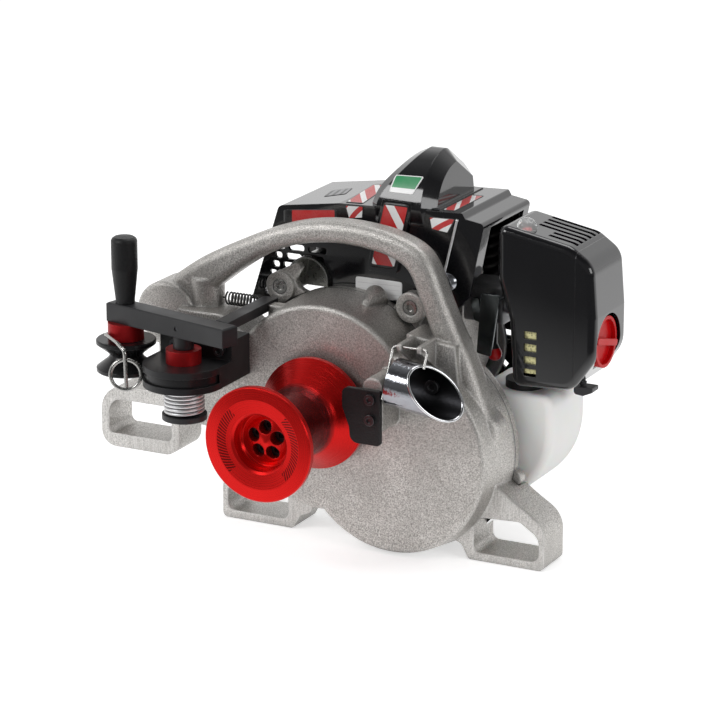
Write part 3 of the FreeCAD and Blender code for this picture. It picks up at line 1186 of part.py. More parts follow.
def carburettor():
    y0, y1 = CARB_Y - 15, CARB_Y + 15
    body = prism_x(rectangle(y0, y1, CARB_Z - 20, CARB_Z + 18, 5), CRANK_X + FIN_REACH + 8,
                   FILTER_LEFT_X - 6)
    neck = rod_x(CARB_Y, CARB_Z, THROAT_R, CRANK_X + FIN_REACH + 6, FILTER_LEFT_X + 16)
    flange = box(CRANK_X + CYLINDER_R + 2, CRANK_X + FIN_REACH + 8, y0 - 3, y1 + 3, CARB_Z - 6, CARB_Z + 12)
    rim = rod_z(CRANK_X, CRANK_MID_Y, CYLINDER_R, CYLINDER_LOW_Z - 1, CYLINDER_HIGH_Z + 1)
    solid = fuse([body, neck, flange]).cut(rim).cut(rod_x(CARB_Y, CARB_Z, THROAT_R - 3,
                                                          CRANK_X + CYLINDER_R, FILTER_LEFT_X + 17))
    for index in range(FIN_COUNT):
        z = CYLINDER_LOW_Z + 12 + index * FIN_PITCH
        solid = solid.cut(box(CRANK_X, CRANK_X + FIN_REACH, y0 - 9, y1 + 9, z, z + FIN_THICK))
    return solid


def throttle_bracket():
    """Plated steel strip that carries the throttle cable in front of the carburettor."""
    y0 = CARB_Y - 30
    corners = [(CRANK_X + 68, CARB_Z - 44, 2), (CRANK_X + 82, CARB_Z - 46, 2), (CRANK_X + 90, CARB_Z + 12,
                                                                                2),
               (CRANK_X + 72, CARB_Z + 12, 2)]
    strip = prism_y(corners, y0, y0 + 2)
    tab = box(CRANK_X + 73, CRANK_X + 89, y0, CARB_Y - 15, CARB_Z + 6, CARB_Z + 8)
    return fuse([strip, tab])


def throttle_arm():
    """Small lever on the carburettor's throttle spindle."""
    y0 = CARB_Y - 23
    arm = prism_y([(CRANK_X + 62, CARB_Z - 16, 3), (CRANK_X + 70, CARB_Z - 18, 3), (CRANK_X + 66,
                                                                                    CARB_Z + 6, 3),
                   (CRANK_X + 58, CARB_Z + 4, 3)], y0, y0 + 2)
    return fuse([arm, rod_y(CRANK_X + 62, CARB_Z - 2, 3, y0, CARB_Y - 15 - FIT_GAP)])


def choke_lever():
    """Red tipped lever below the throttle bracket."""
    y0 = CARB_Y - 20
    x = CRANK_X + 80
    stem = prism_y(rectangle(x - 3, x + 3, CARB_Z - 40, CARB_Z - 14, 2.5), y0, y0 + 3)
    tip = Part.makeSphere(6.5, Vector(x + 1, y0 + 1.5, CARB_Z - 46)).fuse(
        Part.makeCone(6.5, 4, 12, Vector(x + 1, y0 + 1.5, CARB_Z - 46), Vector(-0.3, 0, 1)))
    pivot = rod_y(x, CARB_Z - 18, 2.5, y0, CARB_Y - 15 - FIT_GAP)
    return fuse([stem, tip.removeSplitter(), pivot])


def flap_lever():
    """Wedge shaped lever close under the filter housing."""
    x = FILTER_RIGHT_X - 26
    stem = rod_z(x, KNOB_Y + 6, 3, FILTER_LOW_Z - 10, FILTER_LOW_Z + 2.6)
    top = FILTER_LOW_Z - 1
    blade = prism_y([(x - 6, top, 1), (x - 6, top - 7, 3), (x + 3, top - 8, 3), (x + 12, top - 4, 1),
                     (x + 12, top, 1)], KNOB_Y - 2, KNOB_Y + 12)
    return fuse([stem, blade])


def fuel_tank():
    """Blow-moulded tank under the engine, higher on the right, with a wide round at its low corner."""
    corners = [(TANK_LEFT_X, TANK_LOW_Z, 24), (TANK_RIGHT_X, TANK_LOW_Z, TANK_ROUND), (TANK_RIGHT_X,
                                                                                       TANK_HIGH_Z, 12),
               (TANK_SADDLE_X, TANK_HIGH_Z, 10), (TANK_SADDLE_X, TANK_SADDLE_Z, 10), (TANK_LEFT_X,
                                                                                      TANK_SADDLE_Z, 20)]
    solid = prism_y(corners, TANK_FRONT_Y, TANK_BACK_Y)
    solid = rounded_edges(solid, 7, lambda e: e.BoundBox.YLength < 0.01)
    room = [rod_y(CRANK_X, CRANK_Z, BELL_R + 2, TANK_FRONT_Y - 1, BELL_BACK_Y + 2),
            rod_y(CRANK_X, CRANK_Z, CRANKCASE_R, BELL_BACK_Y, TANK_BACK_Y + 1)]
    solid = solid.cut(room[0]).cut(room[1])
    return fuse([solid, rod_z(TANK_CAP_X, TANK_CAP_Y, TANK_CAP_R - 4, TANK_HIGH_Z - 8, TANK_HIGH_Z + 2)])


def tank_cap():
    low = TANK_HIGH_Z + FIT_GAP
    cap = rod_z(TANK_CAP_X, TANK_CAP_Y, TANK_CAP_R, low, FILTER_LOW_Z - 1.5)
    return cap.cut(rod_z(TANK_CAP_X, TANK_CAP_Y, TANK_CAP_R - 4 + FIT_GAP, low - 1,
                         TANK_HIGH_Z + 2 + FIT_GAP))


def rear_foot():
    """Moulded foot under the tank that levels the engine."""
    y1 = REAR_FOOT_Y + REAR_FOOT_DEPTH
    solid = prism_y([(REAR_FOOT_LEFT_X, 0, 4), (REAR_FOOT_RIGHT_X, 0, 4), (REAR_FOOT_RIGHT_X - 6,
                                                                           TANK_LOW_Z, 0),
                     (REAR_FOOT_LEFT_X + 16, TANK_LOW_Z, 0)], REAR_FOOT_Y, y1)
    arch = prism_y(rectangle(REAR_FOOT_LEFT_X + 18, REAR_FOOT_RIGHT_X - 14, 6, TANK_LOW_Z - 8, 5),
                   REAR_FOOT_Y - 1, y1 + 1)
    return solid.cut(arch)


def guard_plate():
    corners = [(PLATE_LEFT_X + 8, PLATE_LOW_Z, 8), (PLATE_RIGHT_X, PLATE_LOW_Z, 3), (PLATE_RIGHT_X,
                                                                                     PLATE_HIGH_Z, 2),
               (PLATE_LEFT_X, PLATE_HIGH_Z, 6), (PLATE_LEFT_X, PLATE_HIGH_Z - 18, 12), (PLATE_LEFT_X + 7,
                                                                                        PLATE_LOW_Z + 14,
                                                                                        12)]
    solid = prism_y(corners, PLATE_Y - PLATE_THICK, PLATE_Y)
    for z in (PLATE_SCREW_LOW_Z, PLATE_SCREW_HIGH_Z):
        solid = solid.cut(rod_y(PAD_X, z, PLATE_SCREW_R, PLATE_Y - PLATE_THICK - 1, PLATE_Y + 1))
    return solid


def casting_screws():
    """Screws into the main casting: two in the plate, two in the guide block, one in the rope guide."""
    plate_seat = PLATE_Y - PLATE_THICK
    screws = [socket_screw(PAD_X, z, PLATE_SCREW_R, 5, 3, plate_seat, PLATE_THICK + 12)
              for z in (PLATE_SCREW_LOW_Z, PLATE_SCREW_HIGH_Z)]
    screws += [socket_screw(x, z, PLATE_SCREW_R, 5.2, 5, BLOCK_RAIL_Y, FACE_Y + 16 - BLOCK_RAIL_Y)
               for x, z in block_screw_places()]
    seat = guide_bolt_seat()
    screws.append(socket_screw(GUIDE_BOLT_X, GUIDE_BOLT_Z, PLATE_SCREW_R, GUIDE_BOLT_HEAD_R, 4, seat,
                               FACE_Y + 6 - seat))
    return Part.makeCompound(screws)


def guide_frame():
    """Start and heading of the rope guide's middle line, which lies against the case front."""
    heading = Vector(math.cos(math.radians(GUIDE_TILT_DEG)), 0, -math.sin(math.radians(GUIDE_TILT_DEG)))
    return Vector(GUIDE_X, FACE_Y - GUIDE_R, GUIDE_Z), heading


def rope_guide():
    """Plated tube cut off at a slant, so that its mouth opens to the right."""
    start, heading = guide_frame()
    tube = Part.makeCylinder(GUIDE_R, GUIDE_LENGTH, start, heading)
    tube = tube.cut(Part.makeCylinder(GUIDE_R - GUIDE_WALL, GUIDE_LENGTH + 2, start - heading, heading))
    half = 2 * GUIDE_LENGTH
    slant = Part.makeBox(2 * half, 2 * half, half, Vector(-half, -half, 0))
    place = Vector(GUIDE_CUT_X, FACE_Y - GUIDE_R - 6, GUIDE_Z + GUIDE_R - 2)
    turn = FreeCAD.Rotation(UP, Vector(*GUIDE_CUT_NORMAL))
    slant.Placement = FreeCAD.Placement(place, turn).multiply(slant.Placement)
    spot = rod_y(GUIDE_BOLT_X, GUIDE_BOLT_Z, GUIDE_BOLT_HEAD_R + FIT_GAP, FACE_Y - GUIDE_R,
                 guide_bolt_seat())
    hole = rod_y(GUIDE_BOLT_X, GUIDE_BOLT_Z, PLATE_SCREW_R, FACE_Y - GUIDE_R, FACE_Y + 1)
    return tube.cut(slant).cut(spot).cut(hole)


def guide_bolt_seat():
    return FACE_Y - GUIDE_WALL + GUIDE_SPOT_DEPTH


def latch_wire():
    """Bent wire bail, hinged in the two cast eyes, that closes over the rope guide."""
    lean = math.radians(LATCH_LEAN_DEG)
    down = Vector(0, -math.sin(lean), -math.cos(lean))
    left = Vector(LATCH_LEFT_X, LATCH_Y, LATCH_Z)
    right = Vector(LATCH_RIGHT_X, LATCH_Y, LATCH_Z)
    bend = 3 * LATCH_WIRE_R
    corner = bend * (1 - math.sqrt(0.5))
    edges = [Part.makeLine(left + down * LATCH_LONG_LEG, left + down * bend),
             Part.Arc(left + down * bend, left + (down + ALONG_X) * corner,
                      left + ALONG_X * bend).toShape(),
             Part.makeLine(left + ALONG_X * bend, right - ALONG_X * bend),
             Part.Arc(right - ALONG_X * bend, right + (down - ALONG_X) * corner,
                      right + down * bend).toShape(),
             Part.makeLine(right + down * bend, right + down * LATCH_SHORT_LEG)]
    return tube_along(edges, LATCH_WIRE_R, down * -1)


def block_screw_places():
    return [(AXLE_X - 20, BLOCK_RAIL_HIGH_Z - 9), (AXLE_X + 26, BLOCK_RAIL_HIGH_Z - 9)]


def guide_block():
    """Black block with a slot for the pinch roller, bolted to the case ear."""
    left, right = AXLE_X - BLOCK_R, AXLE_X + BLOCK_R
    corners = [(left, AXLE_Y - BLOCK_R, BLOCK_R - 0.5), (right, AXLE_Y - BLOCK_R, BLOCK_R - 0.5), (right,
                                                                                                   FACE_Y,
                                                                                                   0),
                                                                                                   (left,
                                                                                                    FACE_Y,
                                                                                                    0)]
    slab = prism_z(corners, BLOCK_LOW_Z, BLOCK_HIGH_Z)
    rail = box(left, right, BLOCK_RAIL_Y, FACE_Y, BLOCK_HIGH_Z - 1, BLOCK_RAIL_HIGH_Z)
    stop = spring_stop(0, -1, BLOCK_LOW_Z - PRESSURE_WIRE, BLOCK_LOW_Z + 1)
    solid = fuse([slab, rail, stop])
    gap_low, gap_high = BLOCK_LOW_Z + BLOCK_PLATE, BLOCK_HIGH_Z - BLOCK_PLATE
    slot = fuse([rod_z(AXLE_X, AXLE_Y, ROLLER_R + 1.5, gap_low, gap_high),
                 box(left - 1, right + 1, AXLE_Y - BLOCK_R - 1, AXLE_Y, gap_low, gap_high)])
    solid = solid.cut(slot).cut(rod_z(AXLE_X, AXLE_Y, AXLE_R + RUNNING, BLOCK_LOW_Z - 1, BLOCK_HIGH_Z + 1))
    for x, z in block_screw_places():
        solid = solid.cut(rod_y(x, z, PLATE_SCREW_R, BLOCK_RAIL_Y - 1, FACE_Y + 1))
    return solid


def pinch_roller():
    low = BLOCK_LOW_Z + BLOCK_PLATE + FIT_GAP
    high = BLOCK_HIGH_Z - BLOCK_PLATE - FIT_GAP
    return ring_z(AXLE_X, AXLE_Y, ROLLER_R, AXLE_R + RUNNING, low, high)


def axle_bush():
    return ring_z(AXLE_X, AXLE_Y, BUSH_R, AXLE_R + RUNNING, BLOCK_HIGH_Z, BLOCK_HIGH_Z + BUSH_HEIGHT)


def lever_axle():
    """Upright axle of the tensioner, with a collar under the lever bar."""
    low = BLOCK_LOW_Z - FIT_GAP - pressure_height() - SPRING_WASHER
    collar = rod_z(AXLE_X, AXLE_Y, AXLE_COLLAR_R, BLOCK_HIGH_Z + BUSH_HEIGHT + FIT_GAP, LEVER_LOW_Z)
    return fuse([rod_z(AXLE_X, AXLE_Y, AXLE_R, low, LEVER_HIGH_Z - 4), collar])


def pressure_height():
    return PRESSURE_TURNS * PRESSURE_PITCH + PRESSURE_WIRE + FIT_GAP


def pressure_top():
    """Middle of the axle at the height where the spring's first turn starts."""
    return Vector(AXLE_X, AXLE_Y, BLOCK_LOW_Z - FIT_GAP - PRESSURE_WIRE / 2)


def pressure_spring():
    """Wound spring between the block and its washer; each end runs straight on to a stop."""
    edges, stops = coil("pressure_spring", pressure_top(), UP * -1, ALONG_X, PRESSURE_SPRING_R,
                        PRESSURE_WIRE,
                        PRESSURE_TURNS, PRESSURE_PITCH)
    first, first_heading = stops[0]
    last, last_heading = stops[-1]
    path = [Part.makeLine(first - first_heading * PRESSURE_WIRE, first)]
    path += edges
    path.append(Part.makeLine(last, last + last_heading * PRESSURE_WIRE))
    return tube_along(path, PRESSURE_WIRE / 2, first_heading)


def spring_stop(turn, way, z0, z1):
    """Small stop that the spring's end at this turn meets squarely; way is -1 at the first end."""
    point, heading = helix_point(pressure_top(), UP * -1, ALONG_X, PRESSURE_SPRING_R, PRESSURE_PITCH, turn)
    face = point.y + heading.y * way * (PRESSURE_WIRE + FIT_GAP)
    far = face + math.copysign(PRESSURE_WIRE, heading.y * way)
    half = PRESSURE_WIRE / 2
    return box(point.x - half, point.x + half, min(face, far), max(face, far), z0, z1)


def spring_washer():
    """Washer on the axle; its stop meets the spring's end when the lever has swung all the way."""
    top = BLOCK_LOW_Z - FIT_GAP - pressure_height()
    washer = ring_z(AXLE_X, AXLE_Y, SPRING_WASHER_R, AXLE_R, top - SPRING_WASHER, top)
    stop = spring_stop(PRESSURE_TURNS, 1, top - 1, top + PRESSURE_WIRE)
    stop.rotate(Vector(AXLE_X, AXLE_Y, 0), UP, -LEVER_SWING_DEG)
    return fuse([washer, stop])


def lever_box(left, right, half, z0, z1):
    """Bar along the lever's heading, from left to right of the axle."""
    across = Vector(-LEVER_DIR.y, LEVER_DIR.x, 0) * half
    middle = Vector(AXLE_X, AXLE_Y, z0)
    corners = [middle - LEVER_DIR * left - across, middle + LEVER_DIR * right - across,
               middle + LEVER_DIR * right + across, middle - LEVER_DIR * left + across]
    return Part.Face(Part.makePolygon(corners + corners[:1])).extrude(Vector(0, 0, z1 - z0))


def lever_bar():
    bar = lever_box(LEVER_LEFT, LEVER_RIGHT, LEVER_WIDTH / 2, LEVER_LOW_Z, LEVER_HIGH_Z)
    top_edges = [edge for edge in bar.Edges if edge.BoundBox.ZMin > LEVER_HIGH_Z - 1]
    bar = bar.makeChamfer(1.2, top_edges)
    cuts = [rod_z(AXLE_X, AXLE_Y, AXLE_R, LEVER_LOW_Z - 1, LEVER_HIGH_Z - 4),
            rod_z(PULLEY_X, PULLEY_Y, PULLEY_AXLE_R, LEVER_LOW_Z - 1, LEVER_LOW_Z + 6),
            rod_z(PULLEY_X, PULLEY_Y, GRIP_BOLT_R, LEVER_HIGH_Z - 10, LEVER_HIGH_Z + 1), grub_bore(AXLE_R)]
    for cut in cuts:
        bar = bar.cut(cut)
    return bar


def grub_bore(start):
    outward = Vector(LEVER_DIR.y, -LEVER_DIR.x, 0)
    middle = Vector(AXLE_X, AXLE_Y, (LEVER_LOW_Z + LEVER_HIGH_Z) / 2 - 1)
    return Part.makeCylinder(2, LEVER_WIDTH, middle + outward * start, outward)


def spring_arm():
    """Bar from the right end of the lever back to the return spring."""
    right = ARM_LEFT_X + ARM_WIDTH
    arm = box(ARM_LEFT_X, right, AXLE_Y - 30, ARM_END_Y, ARM_LOW_Z, LEVER_HIGH_Z)
    shadow = lever_box(LEVER_LEFT, LEVER_RIGHT + 60, LEVER_WIDTH / 2, ARM_LOW_Z - 1, LEVER_HIGH_Z + 1)
    front = lever_box(LEVER_LEFT, LEVER_RIGHT + 60, LEVER_WIDTH * 2, ARM_LOW_Z - 1, LEVER_HIGH_Z + 1)
    front.translate(Vector(LEVER_DIR.y, -LEVER_DIR.x, 0) * LEVER_WIDTH * 2)
    return arm.cut(shadow).cut(front)


def return_spring():
    """Open wound spring between the case ear and the spring arm."""
    start = Vector(SPRING_SEAT_X + FIT_GAP, RETURN_SPRING_Y, RETURN_SPRING_Z)
    end = Vector(ARM_LEFT_X - FIT_GAP, RETURN_SPRING_Y, RETURN_SPRING_Z)
    straight = RETURN_WIRE
    length = end.x - start.x - 2 * straight - 2 * SPRING_LEAD
    pitch = length / RETURN_TURNS
    first = start + ALONG_X * (straight + SPRING_LEAD)
    edges, stops = coil("return_spring", first, ALONG_X, UP, RETURN_SPRING_R, RETURN_WIRE, RETURN_TURNS,
                        pitch)
    lead_in = start + ALONG_X * straight
    lead_out = end - ALONG_X * straight
    path = [Part.makeLine(start, lead_in)]
    path += biarc(lead_in, ALONG_X, stops[0][0], stops[0][1])
    path += edges
    path += biarc(stops[-1][0], stops[-1][1], lead_out, ALONG_X)
    path.append(Part.makeLine(lead_out, end))
    return tube_along(path, RETURN_WIRE / 2, ALONG_X)


def pulley_bush():
    return ring_z(PULLEY_X, PULLEY_Y, PULLEY_BUSH_R, PULLEY_AXLE_R, PULLEY_HIGH_Z + FIT_GAP, LEVER_LOW_Z)


def pulley_axle():
    """Pin under the lever with a head below the pulley and a cross hole for the clip."""
    low = PULLEY_LOW_Z - FIT_GAP
    pin = rod_z(PULLEY_X, PULLEY_Y, PULLEY_AXLE_R, low, LEVER_LOW_Z + 6)
    return fuse([pin, rod_z(PULLEY_X, PULLEY_Y, PULLEY_AXLE_R + 4, low - 3, low)])


def rope_pulley():
    low, high = PULLEY_LOW_Z, PULLEY_HIGH_Z
    middle = (low + high) / 2
    inner = PULLEY_AXLE_R + RUNNING
    profile = [(inner, low), (PULLEY_R - 1, low), (PULLEY_R, low + 1), (PULLEY_R, low + PULLEY_FLANGE),
               (PULLEY_GROOVE_R + 2, middle - 3), (PULLEY_GROOVE_R, middle), (PULLEY_GROOVE_R + 2,
                                                                              middle + 3),
               (PULLEY_R, high - PULLEY_FLANGE), (PULLEY_R, high - 1), (PULLEY_R - 1, high), (inner, high)]
    return turned_z(profile, PULLEY_X, PULLEY_Y)


def lever_fasteners():
    """Headed pin of the turning grip and the set screw that locks the lever on its axle."""
    seat = GRIP_HIGH_Z - GRIP_BOLT_DROP
    head = rod_z(PULLEY_X, PULLEY_Y, GRIP_BOLT_R + 2, seat, seat + GRIP_BOLT_HEAD)
    bolt = rod_z(PULLEY_X, PULLEY_Y, GRIP_BOLT_R, LEVER_HIGH_Z - 10, seat)
    set_screw = grub_bore(AXLE_R).cut(grub_bore(LEVER_WIDTH / 2 - 1))
    return Part.makeCompound([fuse([head, bolt]), set_screw])


def turning_grip():
    """Grip moulded over its headed pin, with a closed, slightly domed top."""
    low = LEVER_HIGH_Z + FIT_GAP
    high = GRIP_HIGH_Z
    seat = high - GRIP_BOLT_DROP - FIT_GAP
    room = seat + GRIP_BOLT_HEAD + 2 * FIT_GAP
    profile = [(GRIP_BOLT_R + RUNNING, low), (GRIP_NECK_R, low), (GRIP_NECK_R, low + 3), (GRIP_R,
                                                                                          GRIP_TAPER_Z),
               (GRIP_R, high - 4), (GRIP_R - 1, high - 2), (GRIP_R - 3, high - 0.6), (0, high), (0, room),
               (GRIP_BOLT_R + 3, room), (GRIP_BOLT_R + 3, seat), (GRIP_BOLT_R + RUNNING, seat)]
    return turned_z(profile, PULLEY_X, PULLEY_Y)


def clip_points():
    """Bends of the lynch clip: through the bush, forward past the pulley and down."""
    high = PULLEY_HIGH_Z + FIT_GAP + 5
    return [Vector(PULLEY_X - 13, PULLEY_Y - 14, high), Vector(PULLEY_X + 8, PULLEY_Y - 29, high - 1),
            Vector(PULLEY_X + 19, PULLEY_Y - 34, high - 6), Vector(PULLEY_X + 20, PULLEY_Y - 34, high - 42)]


def lynch_clip():
    points = clip_points()
    first = (points[1] - points[0]).normalize()
    second = (points[2] - points[1]).normalize()
    last = (points[3] - points[2]).normalize()
    radius = 6.0
    edges = []
    here = points[0]
    for corner, before, after in ((points[1], first, second), (points[2], second, last)):
        reach = radius * math.tan(before.getAngle(after) / 2)
        enter = corner - before * reach
        leave = corner + after * reach
        edges.append(Part.makeLine(here, enter))
        edges.append(Part.Arc(enter, arc_middle(enter, before, leave), leave).toShape())
        here = leave
    edges.append(Part.makeLine(here, points[3]))
    bar = tube_along(edges, CLIP_WIRE / 2, first)
    ring = Part.makeTorus(CLIP_RING_R, CLIP_WIRE / 2, points[3] - last * CLIP_RING_R, Vector(0.45, -0.88,
                                                                                             0.12))
    return fuse([bar, ring]).cut(rod_z(PULLEY_X, PULLEY_Y, PULLEY_BUSH_R, PULLEY_LOW_Z, LEVER_LOW_Z))


NODES = {
    "main_casting": main_casting, "rear_housing": rear_housing, "case_gasket": case_gasket,
    "housing_bolts": housing_bolts, "gear_bearings": gear_bearings, "shaft_seal": shaft_seal,
    "capstan_drum": capstan_drum, "drum_screws": drum_screws, "drum_shaft": drum_shaft,
    "drum_gear": drum_gear,
    "counter_shaft": counter_shaft, "counter_gear": counter_gear, "clutch_drum": clutch_drum,
    "clutch_shoes": clutch_shoes, "crankshaft": crankshaft, "crankcase": crankcase, "cylinder": cylinder,
    "piston": piston, "spark_plug": spark_plug, "muffler": muffler, "exhaust_hood": exhaust_hood,
    "flywheel": flywheel, "starter_housing": starter_housing, "starter_grip": starter_grip,
    "engine_shroud": engine_shroud, "plug_cover": plug_cover, "shroud_screw": shroud_screw,
    "filter_base": filter_base, "filter_cover": filter_cover, "filter_knob": filter_knob,
    "filter_element": filter_element, "primer_bulb": primer_bulb, "carburettor": carburettor,
    "throttle_bracket": throttle_bracket, "throttle_arm": throttle_arm, "choke_lever": choke_lever,
    "flap_lever": flap_lever, "fuel_tank": fuel_tank, "tank_cap": tank_cap, "rear_foot": rear_foot,
    "guard_plate": guard_plate, "casting_screws": casting_screws, "rope_guide": rope_guide,
    "latch_wire": latch_wire, "guide_block": guide_block, "lever_fasteners": lever_fasteners,
    "pinch_roller": pinch_roller, "axle_bush": axle_bush, "lever_axle": lever_axle,
    "pressure_spring": pressure_spring, "spring_washer": spring_washer, "lever_bar": lever_bar,
    "spring_arm": spring_arm, "return_spring": return_spring, "pulley_bush": pulley_bush,
    "pulley_axle": pulley_axle, "rope_pulley": rope_pulley, "turning_grip": turning_grip,
    "lynch_clip": lynch_clip,
}


def main():
    os.makedirs("parts", exist_ok=True)
    for name, make in NODES.items():
        shape = make().copy()
        shape.translate(Vector(-CENTRE_X, -CENTRE_Y, 0))
        shape.exportStep("parts/" + name + ".step")


main()
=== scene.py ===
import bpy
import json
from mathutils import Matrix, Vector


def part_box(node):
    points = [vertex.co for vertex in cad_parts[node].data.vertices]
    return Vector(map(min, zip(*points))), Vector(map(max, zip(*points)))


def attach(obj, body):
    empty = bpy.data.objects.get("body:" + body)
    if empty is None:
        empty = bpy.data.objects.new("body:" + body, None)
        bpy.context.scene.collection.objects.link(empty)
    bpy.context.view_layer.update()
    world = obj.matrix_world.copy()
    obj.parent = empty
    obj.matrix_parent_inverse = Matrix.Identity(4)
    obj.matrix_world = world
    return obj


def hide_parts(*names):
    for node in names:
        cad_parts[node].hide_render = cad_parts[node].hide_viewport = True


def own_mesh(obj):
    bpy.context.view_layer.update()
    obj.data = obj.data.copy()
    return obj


bl_info = {
    "name": "Capstan winch looks",
    "version": (1, 0, 0),
    "blender": (4, 5, 0),
    "location": "View3D > Sidebar > Winch",
    "description": "Finishes, springs, trim, labels and studio of a portable capstan winch",
    "category": "Object",
}

import json
import math
import bmesh
import bpy
import numpy as np
from bpy.props import FloatProperty, FloatVectorProperty, IntProperty, PointerProperty

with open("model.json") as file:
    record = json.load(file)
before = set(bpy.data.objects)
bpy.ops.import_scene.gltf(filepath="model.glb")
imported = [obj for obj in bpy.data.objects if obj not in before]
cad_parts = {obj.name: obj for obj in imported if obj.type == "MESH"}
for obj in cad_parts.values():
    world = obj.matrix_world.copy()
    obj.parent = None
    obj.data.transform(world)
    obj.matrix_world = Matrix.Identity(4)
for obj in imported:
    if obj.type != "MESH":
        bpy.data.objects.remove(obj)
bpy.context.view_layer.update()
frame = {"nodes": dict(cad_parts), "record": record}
X_AXIS = np.array([1.0, 0.0, 0.0])
Y_AXIS = np.array([0.0, 1.0, 0.0])
Z_AXIS = np.array([0.0, 0.0, 1.0])
FULL_TURN = 2 * math.pi
MM = 0.001
# Range that holds most values of a noise texture
NOISE_SPAN = (0.3, 0.7)


def colour_property(name, description, default):
    return FloatVectorProperty(name=name, description=description, default=default, size=3, min=0, max=1,
                               subtype="COLOR")


def length_property(name, description, default):
    return FloatProperty(name=name, description=description, default=default, unit="LENGTH", precision=5)


def angle_property(name, description, degrees):
    return FloatProperty(name=name, description=description, default=math.radians(degrees), subtype="ANGLE")


def place_property(name, description, default, subtype="TRANSLATION"):
    return FloatVectorProperty(name=name, description=description, default=default, size=3, subtype=subtype)


class WinchFinishSettings(bpy.types.PropertyGroup):
    """Colours of the finishes, as linear values."""

    casting: colour_property("Casting", "Blasted sand-cast aluminium", (0.80, 0.776, 0.745))
    casting_dark: colour_property("Casting pits", "Low spots of the cast grain", (0.31, 0.297, 0.28))
    # Edge colour of the casting: rubbed wear and painted highlight
    casting_edge_wear_and_highlight: colour_property("Casting edges", "Rubbed parts of the casting", (0.88, 0.87, 0.85))
    drum: colour_property("Drum", "Red anodised drum", (0.70, 0.012, 0.011))
    bush: colour_property("Bushes", "Red anodised bushes of the tensioner", (0.34, 0.010, 0.012))
    drum_core: colour_property("Drum core", "Blasted and rope-worn barrel of the drum", (0.085, 0.010, 0.011))
    drum_mark: colour_property("Drum marks", "Marked ticks on the drum's ring", (0.05, 0.004, 0.004))
    plastic: colour_property("Cover plastic", "Glossy black mouldings", (0.004, 0.004, 0.005))
    steel_black: colour_property("Blackened steel", "Lever, arm and axle", (0.011, 0.011, 0.0125))
    chrome: colour_property("Plating", "Bright plated tube and sheet", (0.36, 0.37, 0.40))
    zinc: colour_property("Zinc", "Zinc plated wire", (0.44, 0.435, 0.42))
    hood: colour_property("Hood", "Dull zinc sheet over the exhaust", (0.34, 0.345, 0.33))
    bracket: colour_property("Bracket", "Dark zinc of the throttle's bracket and arm", (0.13, 0.145, 0.15))
    knob: colour_property("Knob", "Red moulded plastic", (0.50, 0.003, 0.005))
    tank: colour_property("Tank", "Translucent tank plastic", (0.95, 0.95, 0.935))
    foam: colour_property("Foam", "Filter foam", (0.85, 0.80, 0.42))
    label_red: colour_property("Label red", "Red of the stickers", (0.52, 0.020, 0.020))
    label_white: colour_property("Label white", "White of the stickers", (0.82, 0.82, 0.82))
    label_green: colour_property("Label green", "Green of the small sticker", (0.03, 0.26, 0.10))


class WinchDetailSettings(bpy.types.PropertyGroup):
    """Sizes of the small pieces, in metres."""

    return_turns: IntProperty(name="Return turns", description="Turns of the return spring", default=9)
    return_wire: length_property("Return wire", "Wire of the return spring", 0.0017)
    return_lead: length_property("Return lead", "Run in which the return spring opens", 0.0032)
    return_keep: FloatProperty(name="Return keep", description="Share of its length the return spring keeps",
                               default=0.65)
    pressure_turns: FloatProperty(name="Pressure turns", description="Turns of the pressure spring",
                                  default=6.5)
    pressure_wire: length_property("Pressure wire", "Wire of the pressure spring", 0.0031)
    guide_tilt: angle_property("Guide tilt", "Slope of the rope guide", 7.5)
    guide_radius: length_property("Guide radius", "Outside of the rope guide", 0.022)
    guide_wall: length_property("Guide wall", "Wall of the rope guide", 0.0022)
    guide_length: length_property("Guide length", "Length of the rope guide", 0.085)
    lip_radius: length_property("Lip radius", "Rolled lip of the rope guide's mouth", 0.0014)
    cut_place: place_property("Cut place", "Point of the mouth's slanted cut", (0.021, -0.006, 0.020))
    cut_normal: place_property("Cut normal", "Way the slanted cut faces", (0.77, -0.41, 0.49), "DIRECTION")
    drawing: place_property("Drawing", "Origin of the drawing's x, z and y", (0.037, 0.0, -0.030))
    tick_inner: length_property("Tick inner", "Inner end of the drum's ticks", 0.0325)
    tick_outer: length_property("Tick outer", "Outer end of the drum's ticks", 0.0405)
    label_thick: length_property("Label", "Thickness of the stickers", 0.0003)
    screw_radius: length_property("Screw radius", "Head of the starter cover's screws", 0.0042)
    screw_height: length_property("Screw height", "Height of the starter cover's screws", 0.0032)
    screw_ring: length_property("Screw ring", "Distance of the screws from the starter's axis", 0.046)
    screw_sink: length_property("Screw seat", "Seat of the screws below the starter's back", 0.0024)
    # Radius of the bright bar that paints the highlight on the engine cover's front edge
    highlight_bar_radius: length_property("Bead radius", "Edge bead of the engine cover's front", 0.0012)
    core_radius: length_property("Core radius", "Red core of the primer", 0.0048)


class WinchStageSettings(bpy.types.PropertyGroup):
    """Camera and lamps."""

    target: place_property("Target", "Point the camera looks at", (0.037, -0.030, 0.176))
    azimuth: angle_property("Azimuth", "Turn of the camera from the front", 27.2)
    elevation: angle_property("Elevation", "Rise of the camera", 16.9)
    distance: FloatProperty(name="Distance", description="Camera to target", default=3.0, unit="LENGTH")
    lens: FloatProperty(name="Lens", description="Focal length in mm on a 36 mm sensor", default=167.5)
    key_power: FloatProperty(name="Key", description="Power of the front lamp in watts", default=42)
    side_power: FloatProperty(name="Side", description="Power of the right lamp in watts", default=16)
    top_power: FloatProperty(name="Top", description="Power of the top lamp in watts", default=18)


def settings():
    return bpy.context.scene.winch_finish, bpy.context.scene.winch_detail, bpy.context.scene.winch_stage


def box_of(node):
    """Lowest and highest corner of a node, as arrays."""
    low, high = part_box(node)
    return np.array(low), np.array(high)


def middle(node):
    low, high = box_of(node)
    return (low + high) / 2


